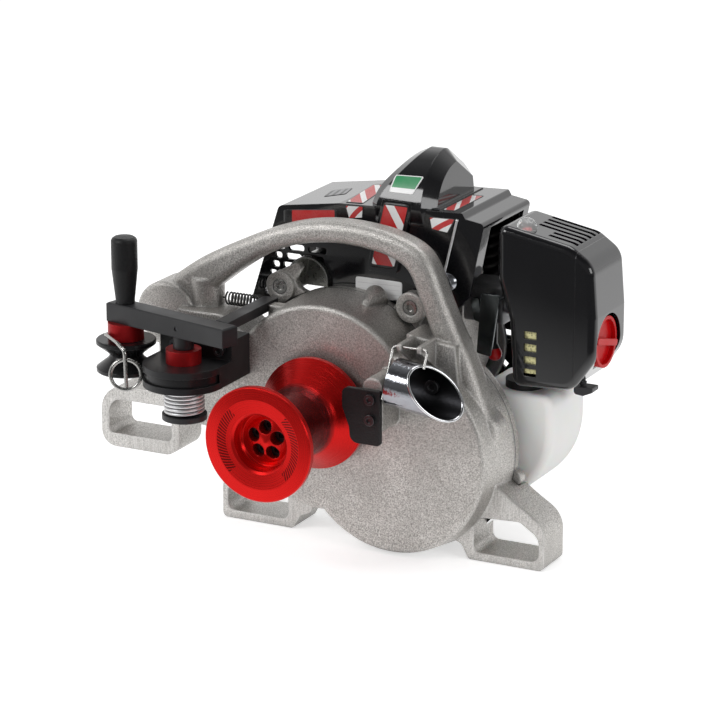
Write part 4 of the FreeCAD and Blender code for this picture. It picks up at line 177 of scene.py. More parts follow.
def wire_up(tree, socket, value):
    """Links another socket to this one, or sets its plain value."""
    if isinstance(value, bpy.types.NodeSocket):
        tree.links.new(value, socket)
    else:
        socket.default_value = value


def add(tree, kind, inputs=None, **choices):
    made = tree.nodes.new(kind)
    for name, value in choices.items():
        setattr(made, name, value)
    for name, value in (inputs or {}).items():
        wire_up(tree, made.inputs[name], value)
    return made


def maths(tree, operation, first, second=0.0, clamp=False):
    made = add(tree, "ShaderNodeMath", operation=operation, use_clamp=clamp)
    wire_up(tree, made.inputs[0], first)
    wire_up(tree, made.inputs[1], second)
    return made.outputs[0]


def times(tree, first, second):
    return maths(tree, "MULTIPLY", first, second)


def vector_maths(tree, operation, first, second=(0, 0, 0)):
    made = add(tree, "ShaderNodeVectorMath", operation=operation)
    wire_up(tree, made.inputs[0], first)
    wire_up(tree, made.inputs[1], second)
    scalar = operation in ("DOT_PRODUCT", "LENGTH")
    return made.outputs["Value" if scalar else "Vector"]


def stretch(tree, value, low, high, out_low=0.0, out_high=1.0):
    """Value from low to high, spread over another range and held at its ends."""
    made = add(tree, "ShaderNodeMapRange", {"Value": value, "From Min": low, "From Max": high,
                                            "To Min": out_low, "To Max": out_high})
    return made.outputs["Result"]


def between(tree, mask, at_none, at_full):
    """One value where the mask is 0 and another where it is 1."""
    return stretch(tree, mask, 0, 1, at_none, at_full)


def solid(colour):
    """A colour with its alpha, or the socket itself."""
    if isinstance(colour, bpy.types.NodeSocket):
        return colour
    return (*colour[:3], 1.0)


def dimmed(colour, share):
    return [channel * share for channel in colour]


def colour_mix(tree, factor, first, second):
    made = add(tree, "ShaderNodeMix", data_type="RGBA")
    wire_up(tree, made.inputs[0], factor)
    wire_up(tree, made.inputs[6], solid(first))
    wire_up(tree, made.inputs[7], solid(second))
    return made.outputs[2]


def tinted(tree, mask, share, colour, over):
    """A colour with this share of another laid over it where the mask is 1."""
    return colour_mix(tree, times(tree, mask, share), colour, over)


def place_of(tree):
    """Place on the part, in the winch's own frame."""
    return add(tree, "ShaderNodeTexCoord").outputs["Object"]


def split(tree, vector):
    return add(tree, "ShaderNodeSeparateXYZ", {"Vector": vector}).outputs


def noise(tree, scale, detail=2.0, vector=None):
    if vector is None:
        vector = place_of(tree)
    made = add(tree, "ShaderNodeTexNoise", {"Vector": vector, "Scale": scale, "Detail": detail})
    return made.outputs["Fac"]


def new_group(name, inputs, outputs):
    """Empty shader node group: its inputs by their default values, its outputs by their kind."""
    tree = bpy.data.node_groups.new(name, "ShaderNodeTree")
    for label, value in inputs.items():
        kind = "NodeSocketVector" if isinstance(value, tuple) else "NodeSocketFloat"
        tree.interface.new_socket(name=label, in_out="INPUT", socket_type=kind).default_value = value
    for label, kind in outputs.items():
        tree.interface.new_socket(name=label, in_out="OUTPUT", socket_type="NodeSocket" + kind)
    return tree, tree.nodes.new("NodeGroupInput").outputs, tree.nodes.new("NodeGroupOutput").inputs


def use(tree, group, inputs):
    made = tree.nodes.new("ShaderNodeGroup")
    made.node_tree = bpy.data.node_groups[group]
    for name, value in inputs.items():
        wire_up(tree, made.inputs[name], value)
    return made.outputs


def make_grain_group():
    """Speckle: fine noise with raised contrast. Cloud: broad noise. Height: fine noise and some finer noise."""
    tree, source, sink = new_group("Surface grain", {"Scale": 600.0, "Cloud Scale": 14.0},
                                   {"Speckle": "Float", "Cloud": "Float", "Height": "Float"})
    fine = noise(tree, source["Scale"], 3.0)
    finer = noise(tree, times(tree, source["Scale"], 2.7), 1.0)
    tree.links.new(stretch(tree, fine, 0.32, 0.68), sink["Speckle"])
    tree.links.new(stretch(tree, noise(tree, source["Cloud Scale"]), 0.35, 0.65), sink["Cloud"])
    tree.links.new(maths(tree, "ADD", fine, times(tree, finer, 0.4)), sink["Height"])


def make_wear_and_highlight_group():
    """Mask: how far the rounded normal turns from the plain one, broken by noise; finishes lighten edges by it,
    as wear and as painted highlight. Normal: the rounded one.
    """
    tree, source, sink = new_group("Edge wear and painted highlight", {"Width": 0.002, "Gain": 3.0},
                                   {"Mask": "Float", "Normal": "Vector"})
    rounded = add(tree, "ShaderNodeBevel", {"Radius": source["Width"]}, samples=4).outputs["Normal"]
    plain = add(tree, "ShaderNodeNewGeometry").outputs["Normal"]
    turn = maths(tree, "SUBTRACT", 1.0, vector_maths(tree, "DOT_PRODUCT", rounded, plain))
    broken = stretch(tree, noise(tree, 160.0, 3.0), *NOISE_SPAN, 0.35, 1.0)
    mask = maths(tree, "MULTIPLY", times(tree, turn, source["Gain"]), broken, clamp=True)
    tree.links.new(mask, sink["Mask"])
    tree.links.new(rounded, sink["Normal"])


def make_crease_shade_group():
    """Mask: one minus the share of open sky within reach, so inner corners are 1; it marks where shade is
    painted.
    """
    tree, source, sink = new_group("Painted crease shade", {"Reach": 0.02}, {"Mask": "Float"})
    open_sky = add(tree, "ShaderNodeAmbientOcclusion", {"Distance": source["Reach"]}, samples=6)
    tree.links.new(maths(tree, "SUBTRACT", 1.0, open_sky.outputs["AO"], clamp=True), sink["Mask"])


def make_turned_group():
    """Lines: noise along the distance from an axis plus the distance along it. Radius: the first of them."""
    tree, source, sink = new_group("Turned lines", {"Centre": (0, 0, 0), "Axis": (0, 1, 0), "Scale": 900.0},
                                   {"Lines": "Float", "Radius": "Float"})
    place = vector_maths(tree, "SUBTRACT", place_of(tree), source["Centre"])
    along = vector_maths(tree, "DOT_PRODUCT", place, source["Axis"])
    radius = vector_maths(tree, "LENGTH", vector_maths(tree, "CROSS_PRODUCT", place, source["Axis"]))
    run = times(tree, maths(tree, "ADD", radius, along), source["Scale"])
    lines = add(tree, "ShaderNodeTexNoise", {"W": run, "Scale": 1.0, "Detail": 2.0}, noise_dimensions="1D")
    tree.links.new(lines.outputs["Fac"], sink["Lines"])
    tree.links.new(radius, sink["Radius"])


def grain_of(tree, scale, cloud):
    return use(tree, "Surface grain", {"Scale": scale, "Cloud Scale": cloud})


def wear_and_highlight_of(tree, width, gain):
    return use(tree, "Edge wear and painted highlight", {"Width": width, "Gain": gain})


def turned_of(tree, centre, axis, scale):
    return use(tree, "Turned lines", {"Centre": tuple(centre), "Axis": tuple(axis), "Scale": scale})


def new_finish(name, plain):
    """Material with one Principled shader; plain values sit on the shader's own sockets."""
    material = bpy.data.materials.new(name)
    material.use_nodes = True
    tree = material.node_tree
    shader = tree.nodes["Principled BSDF"]
    for label, value in plain.items():
        shader.inputs[label].default_value = value
    return material, tree, shader


def bump(tree, shader, height, depth, normal=None):
    """Feeds the shader's normal from a height of this depth in metres."""
    inputs = {"Height": height, "Distance": depth, "Strength": 1.0}
    if normal is not None:
        inputs["Normal"] = normal
    made = add(tree, "ShaderNodeBump", inputs)
    tree.links.new(made.outputs["Normal"], shader.inputs["Normal"])


def dress(tree, shader, colour, rough, height, depth, normal=None):
    """Feeds the shader's colour, roughness and normal."""
    tree.links.new(colour, shader.inputs["Base Color"])
    tree.links.new(rough, shader.inputs["Roughness"])
    bump(tree, shader, height, depth, normal)


def cast_finish(name, light, dark, worn_and_highlit, scale, metallic, depth, ground=None):
    """Blasted casting: fine speckle, broad clouds, edges lightened as rubbed wear and painted highlight, and
    painted shade in inner corners.

    Ground gives the height below which, and the depth behind which, forward faces are ground smooth.
    """
    material, tree, shader = new_finish(name, {"Metallic": metallic, "Specular IOR Level": 0.35})
    grain = grain_of(tree, scale, cloud=22.0)
    wear_and_highlight = wear_and_highlight_of(tree, width=0.0036, gain=3.6)
    crease_shade = use(tree, "Painted crease shade", {"Reach": 0.016})
    colour = colour_mix(tree, grain["Speckle"], dark, light)
    colour = colour_mix(tree, between(tree, grain["Cloud"], 0.34, 0.0), colour, dark)
    # Edge mask: rubbed wear and painted highlight; ground faces join it below
    rubbed_and_highlit = times(tree, wear_and_highlight["Mask"], 0.75)
    if ground is not None:
        rubbed_and_highlit = maths(tree, "MAXIMUM", rubbed_and_highlit, ground_mask(tree, *ground))
    colour = colour_mix(tree, rubbed_and_highlit, colour, worn_and_highlit)
    # Painted shade: inner corners and creases darkened by the ambient occlusion mask
    colour = tinted(tree, stretch(tree, crease_shade["Mask"], 0.25, 0.9), 0.7, colour, dimmed(dark, 0.25))
    rough = maths(tree, "SUBTRACT", between(tree, grain["Speckle"], 0.50, 0.34), times(tree, rubbed_and_highlit, 0.12))
    dress(tree, shader, colour, rough, grain["Height"], depth, wear_and_highlight["Normal"])
    return material


def ground_mask(tree, height, depth):
    """Faces square to the front, below a height and behind a depth, brushed by upright streaks of noise."""
    square = -0.985
    streaks = (900, 900, 60)
    place = add(tree, "ShaderNodeTexCoord").outputs
    spot = split(tree, place["Object"])
    low = times(tree, maths(tree, "LESS_THAN", spot["Z"], height),
                maths(tree, "GREATER_THAN", spot["Y"], depth))
    flat = times(tree, maths(tree, "LESS_THAN", split(tree, place["Normal"])["Y"], square), low)
    streak = noise(tree, 1.0, 3.0, vector_maths(tree, "MULTIPLY", place["Object"], streaks))
    return times(tree, flat, stretch(tree, streak, *NOISE_SPAN, 0.05, 0.5))


def machined_finish(name, colour, metallic, rough, scale, centre, axis, worn_and_highlit, wear_and_highlight_gain, dish=0.0,
                    groove=0.00002):
    """Turned or ground metal: fine lathe lines, slight blotches, and edges lightened as wear and painted
    highlight.

    Dish is the slope by which faces across the axis shade as shallow cones, groove the depth of the lines.
    The tone is handed back for the caller to link.
    """
    material, tree, shader = new_finish(name, {"Metallic": metallic, "Specular IOR Level": 0.2})
    lines = turned_of(tree, centre, axis, scale)
    grain = grain_of(tree, scale=900.0, cloud=40.0)
    wear_and_highlight = wear_and_highlight_of(tree, width=0.0009, gain=wear_and_highlight_gain)
    tone = colour_mix(tree, stretch(tree, lines["Lines"], *NOISE_SPAN), dimmed(colour, 0.82), colour)
    tone = tinted(tree, grain["Cloud"], 0.15, tone, dimmed(colour, 0.7))
    # Edges lightened: wear and painted highlight
    tone = tinted(tree, wear_and_highlight["Mask"], 0.6, tone, worn_and_highlit)
    spread = stretch(tree, lines["Lines"], *NOISE_SPAN, rough - 0.06, rough + 0.06)
    tree.links.new(spread, shader.inputs["Roughness"])
    relief = maths(tree, "ADD", times(tree, lines["Lines"], groove), times(tree, lines["Radius"], dish))
    bump(tree, shader, relief, 1.0, wear_and_highlight["Normal"])
    return material, tree, shader, tone


def turned_finish(name, colour, metallic, rough, node, worn_and_highlit, wear_and_highlight_gain, axis=Z_AXIS):
    line_scale = 1500.0
    material, tree, shader, tone = machined_finish(name, colour, metallic, rough, line_scale, middle(node),
                                                   axis, worn_and_highlit, wear_and_highlight_gain)
    tree.links.new(tone, shader.inputs["Base Color"])
    return material


def drum_finish(look, detail):
    """Red anodised drum: dark blasted core, dished front face and two fans of slanted ticks on its ring."""
    ticks_round, tick_lean, tick_fill = 84.0, 1250.0, -0.1
    fan_half_angle, front_depth = 0.80, 0.006
    core_inner, core_outer, core_depth = 0.031, 0.0345, 0.03
    centre = middle("capstan_drum")
    face = box_of("capstan_drum")[0][1] - centre[1]
    material, tree, shader, tone = machined_finish(
        "red_anodised_drum", look.drum, metallic=0.80, rough=0.29, scale=2600.0, centre=centre, axis=Y_AXIS,
        worn_and_highlit=(0.80, 0.10, 0.09), wear_and_highlight_gain=2.0, dish=-0.12, groove=0.00006)
    place = vector_maths(tree, "SUBTRACT", place_of(tree), tuple(centre))
    spot = split(tree, place)
    angle = maths(tree, "ARCTAN2", spot["Z"], spot["X"])
    folded = maths(tree, "ARCTAN2", spot["Z"], maths(tree, "ABSOLUTE", spot["X"]))
    radius = vector_maths(tree, "LENGTH", vector_maths(tree, "MULTIPLY", place, (1, 0, 1)))
    band = times(tree, maths(tree, "GREATER_THAN", radius, detail.tick_inner),
                 maths(tree, "LESS_THAN", radius, detail.tick_outer))
    slant = maths(tree, "ADD", times(tree, angle, ticks_round), times(tree, radius, tick_lean))
    stripes = maths(tree, "GREATER_THAN", maths(tree, "SINE", slant), tick_fill)
    fan = maths(tree, "LESS_THAN", maths(tree, "ABSOLUTE", folded), fan_half_angle)
    front = maths(tree, "LESS_THAN", spot["Y"], face + front_depth)
    mask = times(tree, times(tree, band, stripes), times(tree, fan, front))
    core = times(tree, stretch(tree, radius, core_inner, core_outer, 1.0, 0.0),
                 maths(tree, "GREATER_THAN", spot["Y"], face + core_depth))
    grain = grain_of(tree, scale=1300.0, cloud=40.0)
    blasted = colour_mix(tree, stretch(tree, grain["Speckle"], 0.5, 1, 0, 0.5), look.drum_core, look.drum)
    tone = tinted(tree, mask, 0.85, colour_mix(tree, core, tone, blasted), look.drum_mark)
    tree.links.new(tone, shader.inputs["Base Color"])
    return material


def painted_finish(name, colour, rough, scale, depth, worn_and_highlit, wear_and_highlight_gain, plain=None):
    """Painted, blackened or moulded surface: fine grain, cloudy gloss, and edges lightened as wear and painted
    highlight.
    """
    material, tree, shader = new_finish(name, plain or {})
    grain = grain_of(tree, scale, cloud=24.0)
    wear_and_highlight = wear_and_highlight_of(tree, width=0.0010, gain=wear_and_highlight_gain)
    tone = tinted(tree, grain["Speckle"], 0.35, colour, dimmed(colour, 1.5))
    # Edges lightened: wear and painted highlight
    tone = tinted(tree, wear_and_highlight["Mask"], 0.5, tone, worn_and_highlit)
    gloss = between(tree, grain["Cloud"], rough * 0.85, rough * 1.2)
    dress(tree, shader, tone, gloss, grain["Height"], depth, wear_and_highlight["Normal"])
    return material


def black_finish(name, shade, rough, scale, depth, worn_and_highlit):
    """Painted or moulded black of one shade, paler at its edges as wear and painted highlight."""
    return painted_finish(name, (shade, shade, shade * 1.08), rough, scale, depth, (worn_and_highlit, worn_and_highlit, worn_and_highlit), 1.0,
                          {"Specular IOR Level": 0.3})


def plated_finish(name, colour, rough, wear_and_highlight_gain):
    """Bright plating: even metal with faint haze, ripples of the sheet under it, and edges made paler as wear
    and painted highlight.
    """
    material, tree, shader = new_finish(name, {"Metallic": 1.0})
    grain = grain_of(tree, scale=420.0, cloud=60.0)
    wear_and_highlight = wear_and_highlight_of(tree, width=0.0008, gain=wear_and_highlight_gain)
    tone = tinted(tree, grain["Cloud"], 0.25, colour, dimmed(colour, 0.8))
    # Edges lightened: wear and painted highlight
    tone = colour_mix(tree, wear_and_highlight["Mask"], tone, (0.92, 0.92, 0.93))
    haze = between(tree, grain["Speckle"], rough * 0.8, rough * 1.3)
    dress(tree, shader, tone, haze, grain["Cloud"], 0.00003, wear_and_highlight["Normal"])
    return material


def guide_axis(detail):
    """Start of the rope guide's axis on its left end, and the way it runs."""
    low, high = box_of("rope_guide")
    radius = detail.guide_radius
    rise, flat = math.sin(detail.guide_tilt), math.cos(detail.guide_tilt)
    start = np.array([low[0] + radius * rise, (low[1] + high[1]) / 2, high[2] - radius * flat])
    return start, np.array([flat, 0, -rise])


def guide_finish(look, detail):
    """Plated tube with a hammered look: bright outside, painted shade darkening the bore, told apart by the
    axis's distance.
    """
    material, tree, shader = new_finish("plated_guide", {"Metallic": 1.0})
    bore = turned_of(tree, *guide_axis(detail), 700.0)
    grain = grain_of(tree, scale=380.0, cloud=130.0)
    wear_and_highlight = wear_and_highlight_of(tree, width=0.0008, gain=1.0)
    wall_start, wall_end = detail.guide_radius - detail.guide_wall + 0.0002, detail.guide_radius - 0.0004
    shaded_bore = stretch(tree, bore["Radius"], wall_start, wall_end, 1.0, 0.0)
    tone = tinted(tree, grain["Cloud"], 0.3, look.chrome, dimmed(look.chrome, 0.7))
    # Edges lightened: wear and painted highlight
    tone = colour_mix(tree, wear_and_highlight["Mask"], tone, (0.9, 0.9, 0.92))
    # Painted shade: the bore darkened nearly to black
    tone = tinted(tree, shaded_bore, 0.97, tone, (0.02, 0.02, 0.022))
    dress(tree, shader, tone, between(tree, shaded_bore, 0.12, 0.4), grain["Speckle"], 0.00006, wear_and_highlight["Normal"])
    return material


def tipped_finish(name, colour, tip_colour, tip, reach):
    """Dark lever with a coloured sleeve on its end: colour by the distance from the tip."""
    material, tree, shader = new_finish(name, {})
    grain = grain_of(tree, scale=900.0, cloud=30.0)
    wear_and_highlight = wear_and_highlight_of(tree, width=0.0008, gain=1.0)
    away = vector_maths(tree, "LENGTH", vector_maths(tree, "SUBTRACT", place_of(tree), tip))
    tone = colour_mix(tree, maths(tree, "LESS_THAN", away, reach), colour, tip_colour)
    # Edges lightened: wear and painted highlight
    tone = tinted(tree, wear_and_highlight["Mask"], 0.3, tone, (0.3, 0.3, 0.3))
    gloss = between(tree, grain["Cloud"], 0.3, 0.42)
    dress(tree, shader, tone, gloss, grain["Height"], 0.00003, wear_and_highlight["Normal"])
    return material


def label_finish(name, ground, bar, border, bars, slant, fill):
    """Printed film: bars across the sticker's own map, a border line and a satin surface.

    Bars and slant count the bars along the map's two sides, and fill is the share of each that is printed.
    """
    rim_start = 0.455
    material, tree, shader = new_finish(name, {})
    grain = grain_of(tree, scale=1200.0, cloud=60.0)
    spot = split(tree, add(tree, "ShaderNodeUVMap", uv_map="face").outputs[0])
    run = maths(tree, "ADD", times(tree, spot["X"], bars), times(tree, spot["Y"], slant))
    stripe = maths(tree, "LESS_THAN", maths(tree, "FRACT", run), fill)
    off_side, off_end = (maths(tree, "ABSOLUTE", maths(tree, "SUBTRACT", spot[way], 0.5)) for way in "XY")
    rim = maths(tree, "GREATER_THAN", maths(tree, "MAXIMUM", off_side, off_end), rim_start)
    tone = colour_mix(tree, rim, colour_mix(tree, stripe, ground, bar), border)
    tone = tinted(tree, grain["Cloud"], 0.12, tone, (0.3, 0.3, 0.3))
    dress(tree, shader, tone, between(tree, grain["Speckle"], 0.26, 0.38), grain["Height"], 0.00001)
    return material


def clear_finish():
    """Clear soft bulb: plain transmission with slightly uneven gloss."""
    material, tree, shader = new_finish("clear_bulb", {"Transmission Weight": 0.72, "IOR": 1.3,
                                                       "Base Color": (0.95, 0.96, 0.96, 1.0)})
    grain = grain_of(tree, scale=300.0, cloud=90.0)
    tree.links.new(between(tree, grain["Cloud"], 0.02, 0.07), shader.inputs["Roughness"])
    return material


def tank_finish(look):
    """Blow-moulded tank: milky plastic with soft waves, darker and yellower towards the bottom."""
    material, tree, shader = new_finish("tank_white", {"Subsurface Weight": 0.25, "Subsurface Scale": 0.01})
    grain = grain_of(tree, scale=500.0, cloud=18.0)
    low, high = box_of("fuel_tank")
    # Darker and yellower towards the bottom
    tint = stretch(tree, split(tree, place_of(tree))["Z"], low[2], high[2], 0.35, 0.0)
    tone = colour_mix(tree, tint, look.tank, (0.72, 0.70, 0.64))
    tone = tinted(tree, grain["Cloud"], 0.2, tone, dimmed(look.tank, 0.88))
    dress(tree, shader, tone, between(tree, grain["Speckle"], 0.38, 0.5), grain["Height"], 0.00006)
    return material


def foam_finish(look):
    """Open cell foam: light walls round dark cells."""
    material, tree, shader = new_finish("filter_foam", {"Roughness": 0.9})
    cells = add(tree, "ShaderNodeTexVoronoi", {"Vector": place_of(tree), "Scale": 420.0})
    wall = stretch(tree, cells.outputs["Distance"], 0.1, 0.55)
    tree.links.new(colour_mix(tree, wall, dimmed(look.foam, 0.45), look.foam), shader.inputs["Base Color"])
    bump(tree, shader, wall, 0.0004)
    return material


# Blacks: name, then shade, roughness, scale and depth of the grain, and shade of the edges, lightened as wear
# and painted highlight
SLOT_BLACKS = (
    ("black_wire", 0.022, 0.3, 900.0, 0.00002, 0.1),
    ("matt_black", 0.012, 0.42, 1400.0, 0.00006, 0.05),
    ("gasket_paper", 0.012, 0.8, 1500.0, 0.00005, 0.03),
    ("seal_rubber", 0.016, 0.55, 900.0, 0.00003, 0.05),
)
NODE_BLACKS = {
    "drum_screws": ("screw_black", 0.006, 0.4, 900.0, 0.00002, 0.03),
    "guard_plate": ("wrinkle_black", 0.009, 0.40, 800.0, 0.00040, 0.06),
    "turning_grip": ("grip_black", 0.006, 0.40, 800.0, 0.00025, 0.04),
    "guide_block": ("block_black", 0.012, 0.36, 1100.0, 0.00004, 0.06),
    "rope_pulley": ("pulley_black", 0.008, 0.26, 1100.0, 0.00002, 0.05),
    "pinch_roller": ("roller_black", 0.010, 0.34, 1100.0, 0.00003, 0.05),
    "flap_lever": ("flap_grey", 0.05, 0.4, 900.0, 0.00003, 0.12),
}


def make_finishes(look):
    """One material per material slot."""
    slots = {values[0]: black_finish(*values) for values in SLOT_BLACKS}
    slots.update({
        "cast_aluminium": cast_finish("cast_aluminium", look.casting, look.casting_dark, look.casting_edge_wear_and_highlight,
                                      scale=960.0, metallic=0.84, depth=0.00034, ground=(0.115, -0.03)),
        "carb_zinc": cast_finish("carb_zinc", (0.30, 0.30, 0.31), (0.18, 0.18, 0.19), (0.5, 0.5, 0.5),
                                 scale=1200.0, metallic=0.85, depth=0.0001),
        "red_anodised": turned_finish("red_anodised", look.bush, metallic=0.6, rough=0.42, node="axle_bush",
                                      worn_and_highlit=(0.6, 0.10, 0.09), wear_and_highlight_gain=1.5),
        "dark_steel": turned_finish("dark_steel", (0.07, 0.07, 0.075), metallic=0.9, rough=0.36,
                                    node="drum_shaft", worn_and_highlit=(0.3, 0.3, 0.3), wear_and_highlight_gain=2.0),
        "bright_steel": turned_finish("bright_steel", (0.60, 0.60, 0.61), metallic=1.0, rough=0.26,
                                      node="drum_shaft", worn_and_highlit=(0.85, 0.85, 0.85), wear_and_highlight_gain=1.5, axis=Y_AXIS),
        "black_steel": painted_finish("black_steel", look.steel_black, rough=0.42, scale=1100.0,
                                      depth=0.00003, worn_and_highlit=(0.10, 0.10, 0.10), wear_and_highlight_gain=1.2),
        "gloss_black": painted_finish("gloss_black", look.plastic, rough=0.10, scale=700.0, depth=0.000003,
                                      worn_and_highlit=(0.09, 0.09, 0.10), wear_and_highlight_gain=1.0,
                                      plain={"Coat Weight": 0.45, "Coat Roughness": 0.04}),
        "red_plastic": painted_finish("red_plastic", look.knob, rough=0.34, scale=900.0, depth=0.000015,
                                      worn_and_highlit=(0.7, 0.06, 0.06), wear_and_highlight_gain=0.8,
                                      plain={"Specular IOR Level": 0.15}),
        "ceramic": painted_finish("ceramic", (0.8, 0.8, 0.78), rough=0.2, scale=500.0, depth=0.00001,
                                  worn_and_highlit=(0.9, 0.9, 0.9), wear_and_highlight_gain=0.5),
        "plated_sheet": plated_finish("plated_sheet", look.chrome, rough=0.14, wear_and_highlight_gain=1.0),
        "zinc_wire": plated_finish("zinc_wire", look.zinc, rough=0.24, wear_and_highlight_gain=1.0),
        "tank_white": tank_finish(look),
        "clear_bulb": clear_finish(),
        "filter_foam": foam_finish(look),
    })
    return slots


def make_own_finishes(look, detail):
    """Finishes that suit one node better than its slot's."""
    dark_zinc = plated_finish("dark_zinc", look.bracket, rough=0.20, wear_and_highlight_gain=0.8)
    choke_tip = (*middle("choke_lever")[:2], box_of("choke_lever")[0][2])
    own = {node: black_finish(*values) for node, values in NODE_BLACKS.items()}
    own.update({
        "capstan_drum": drum_finish(look, detail),
        "rope_guide": guide_finish(look, detail),
        "pulley_bush": turned_finish("red_anodised_pulley", look.bush, metallic=0.6, rough=0.42,
                                     node="pulley_bush", worn_and_highlit=(0.6, 0.1, 0.09), wear_and_highlight_gain=1.5),
        "exhaust_hood": plated_finish("dull_zinc", look.hood, rough=0.30, wear_and_highlight_gain=0.8),
        "throttle_bracket": dark_zinc,
        "throttle_arm": dark_zinc,
        "housing_bolts": plated_finish("bolt_zinc", look.zinc, rough=0.28, wear_and_highlight_gain=1.0),
        "choke_lever": tipped_finish("choke_red_tip", (0.012, 0.012, 0.013), look.knob, choke_tip,
                                     reach=0.013),
    })
    return own


class WINCH_OT_finishes(bpy.types.Operator):
    """Gives every part of the winch its own finish"""

    bl_idname = "winch.finishes"
    bl_label = "Finishes"

    def execute(self, context):
        look, detail, _ = settings()
        make_grain_group()
        make_wear_and_highlight_group()
        make_crease_shade_group()
        make_turned_group()
        slots = make_finishes(look)
        own = make_own_finishes(look, detail)
        for part in frame["record"]["subparts"]:
            node = part["node"]
            material = own.get(node, slots[part["material_slot"]])
            for slot in frame["nodes"][node].material_slots:
                slot.material = material
        return {"FINISHED"}


def grid_faces(rows, columns, rings=False, wrap_rows=False):
    """Quads between neighbouring rows and columns of a grid of points.

    Rows that are rings close on themselves; their first and last row are joined where the rows wrap, or else
    closed by end faces.
    """
    index = np.arange(rows * columns).reshape(rows, columns)
    ends = [index[0].tolist(), index[-1][::-1].tolist()] if rings and not wrap_rows else []
    if wrap_rows:
        index = np.vstack([index, index[:1]])
    if rings:
        index = np.hstack([index, index[:, :1]])
    quads = np.stack([index[:-1, :-1], index[:-1, 1:], index[1:, 1:], index[1:, :-1]], axis=-1)
    return quads.reshape(-1, 4).tolist() + ends


def new_piece(name, points, faces, material, uv=None, turn_out=True, smooth=True):
    """Mesh object at the origin from arrays of points and quads; points are in metres in the winch's frame.

    Faces of a closed form are turned outwards; an open patch keeps the order of its corners.
    """
    mesh = bpy.data.meshes.new(name)
    mesh.from_pydata(points.reshape(-1, 3), [], faces)
    if uv is not None:
        layer = mesh.uv_layers.new(name="face")
        corner = np.empty(len(mesh.loops), np.int32)
        mesh.loops.foreach_get("vertex_index", corner)
        layer.data.foreach_set("uv", uv.reshape(-1, 2)[corner].astype(np.float32).ravel())
    if turn_out:
        form = bmesh.new()
        form.from_mesh(mesh)
        bmesh.ops.recalc_face_normals(form, faces=form.faces)
        form.to_mesh(mesh)
        form.free()
    mesh.polygons.foreach_set("use_smooth", np.full(len(mesh.polygons), smooth))
    piece = bpy.data.objects.new(name, mesh)
    bpy.context.scene.collection.objects.link(piece)
    mesh.materials.append(material)
    return piece


def fixed_piece(name, points, slot, material=None, wrap_rows=False, smooth=True):
    """Closed piece of rings of points, riding on the winch's frame, in the slot's material or a named one."""
    faces = grid_faces(*points.shape[:2], rings=True, wrap_rows=wrap_rows)
    piece = new_piece(name, points, faces, bpy.data.materials[material or slot], smooth=smooth)
    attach(piece, "frame")
    return piece


def unit(vectors):
    return vectors / np.linalg.norm(vectors, axis=-1, keepdims=True)


def turned_round(steps):
    """Even angles of a full turn, without its end."""
    return np.linspace(0, FULL_TURN, steps, endpoint=False)


def tube_points(path, side, radius, sides, closed=False):
    """Circle of this radius carried along a path: path + radius (cos a * across + sin a * up).

    Across is the side direction made square to the path's tangent, and up is tangent x across.
    """
    if closed:
        tangent = np.roll(path, -1, axis=0) - np.roll(path, 1, axis=0)
    else:
        tangent = np.gradient(path, axis=0)
    tangent = unit(tangent)
    across = unit(side - tangent * np.sum(side * tangent, axis=1, keepdims=True))
    up = np.cross(tangent, across)
    angle = turned_round(sides)[None, :, None]
    return path[:, None] + radius * (np.cos(angle) * across[:, None] + np.sin(angle) * up[:, None])


def smooth_step(value):
    value = np.clip(value, 0, 1)
    return value * value * (3 - 2 * value)


class WINCH_OT_springs(bpy.types.Operator):
    """Winds the two springs of the rope tensioner"""

    bl_idname = "winch.springs"
    bl_label = "Springs"

    def execute(self, context):
        _, detail, _ = settings()
        self.wind_return(detail)
        self.wind_pressure(detail)
        return {"FINISHED"}

    def wind_return(self, detail):
        """Helix along X between two straight ends on its axis.

        Place: x runs evenly, the coil radius swells from 0 to full over each lead, the spoke turns evenly.
        """
        steps_per_turn, end_steps, sides = 24, 48, 10
        low, high = box_of("return_spring")
        wire, lead = detail.return_wire, detail.return_lead
        radius = (high[2] - low[2] - wire) / 2
        start, end = low[0] + wire + lead, high[0] - wire - lead
        x = np.linspace(low[0], high[0], steps_per_turn * detail.return_turns + end_steps)
        turn = np.clip((x - start) / (end - start), 0, 1) * detail.return_turns * FULL_TURN
        swell = smooth_step((x - low[0] - wire) / lead) * smooth_step((high[0] - wire - x) / lead)
        spoke = np.cos(turn)[:, None] * Z_AXIS - np.sin(turn)[:, None] * Y_AXIS
        y, z = (low[1:] + high[1:]) / 2
        axis = np.stack([x, np.full_like(x, y), np.full_like(x, z)], axis=1)
        path = axis + spoke * (radius * swell)[:, None]
        piece = fixed_piece("return_spring_coil", tube_points(path, spoke, wire / 2, sides), "black_wire")
        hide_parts("return_spring")
        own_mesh(piece)

    def wind_pressure(self, detail):
        """Helix down the axle with a straight tangent run of one wire at each end."""
        steps_per_turn, sides = 32, 14
        low, high = box_of("pressure_spring")
        wire = detail.pressure_wire
        radius = (high[0] - low[0] - wire) / 2
        x, y = (low[:2] + high[:2]) / 2
        fall = high[2] - low[2] - wire
        share = np.linspace(0, 1, int(steps_per_turn * detail.pressure_turns))
        turn = (FULL_TURN * detail.pressure_turns * share)[:, None]
        spoke = np.cos(turn) * X_AXIS - np.sin(turn) * Y_AXIS
        ahead = -np.sin(turn) * X_AXIS - np.cos(turn) * Y_AXIS
        height = high[2] - wire / 2 - fall * share
        path = spoke * radius + np.stack([np.full_like(share, x), np.full_like(share, y), height], axis=1)
        path = np.vstack([path[:1] - ahead[:1] * wire, path, path[-1:] + ahead[-1:] * wire])
        side = np.vstack([spoke[:1], spoke, spoke[-1:]])
        piece = fixed_piece("pressure_spring_coil", tube_points(path, side, wire / 2, sides), "zinc_wire")
        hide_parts("pressure_spring")


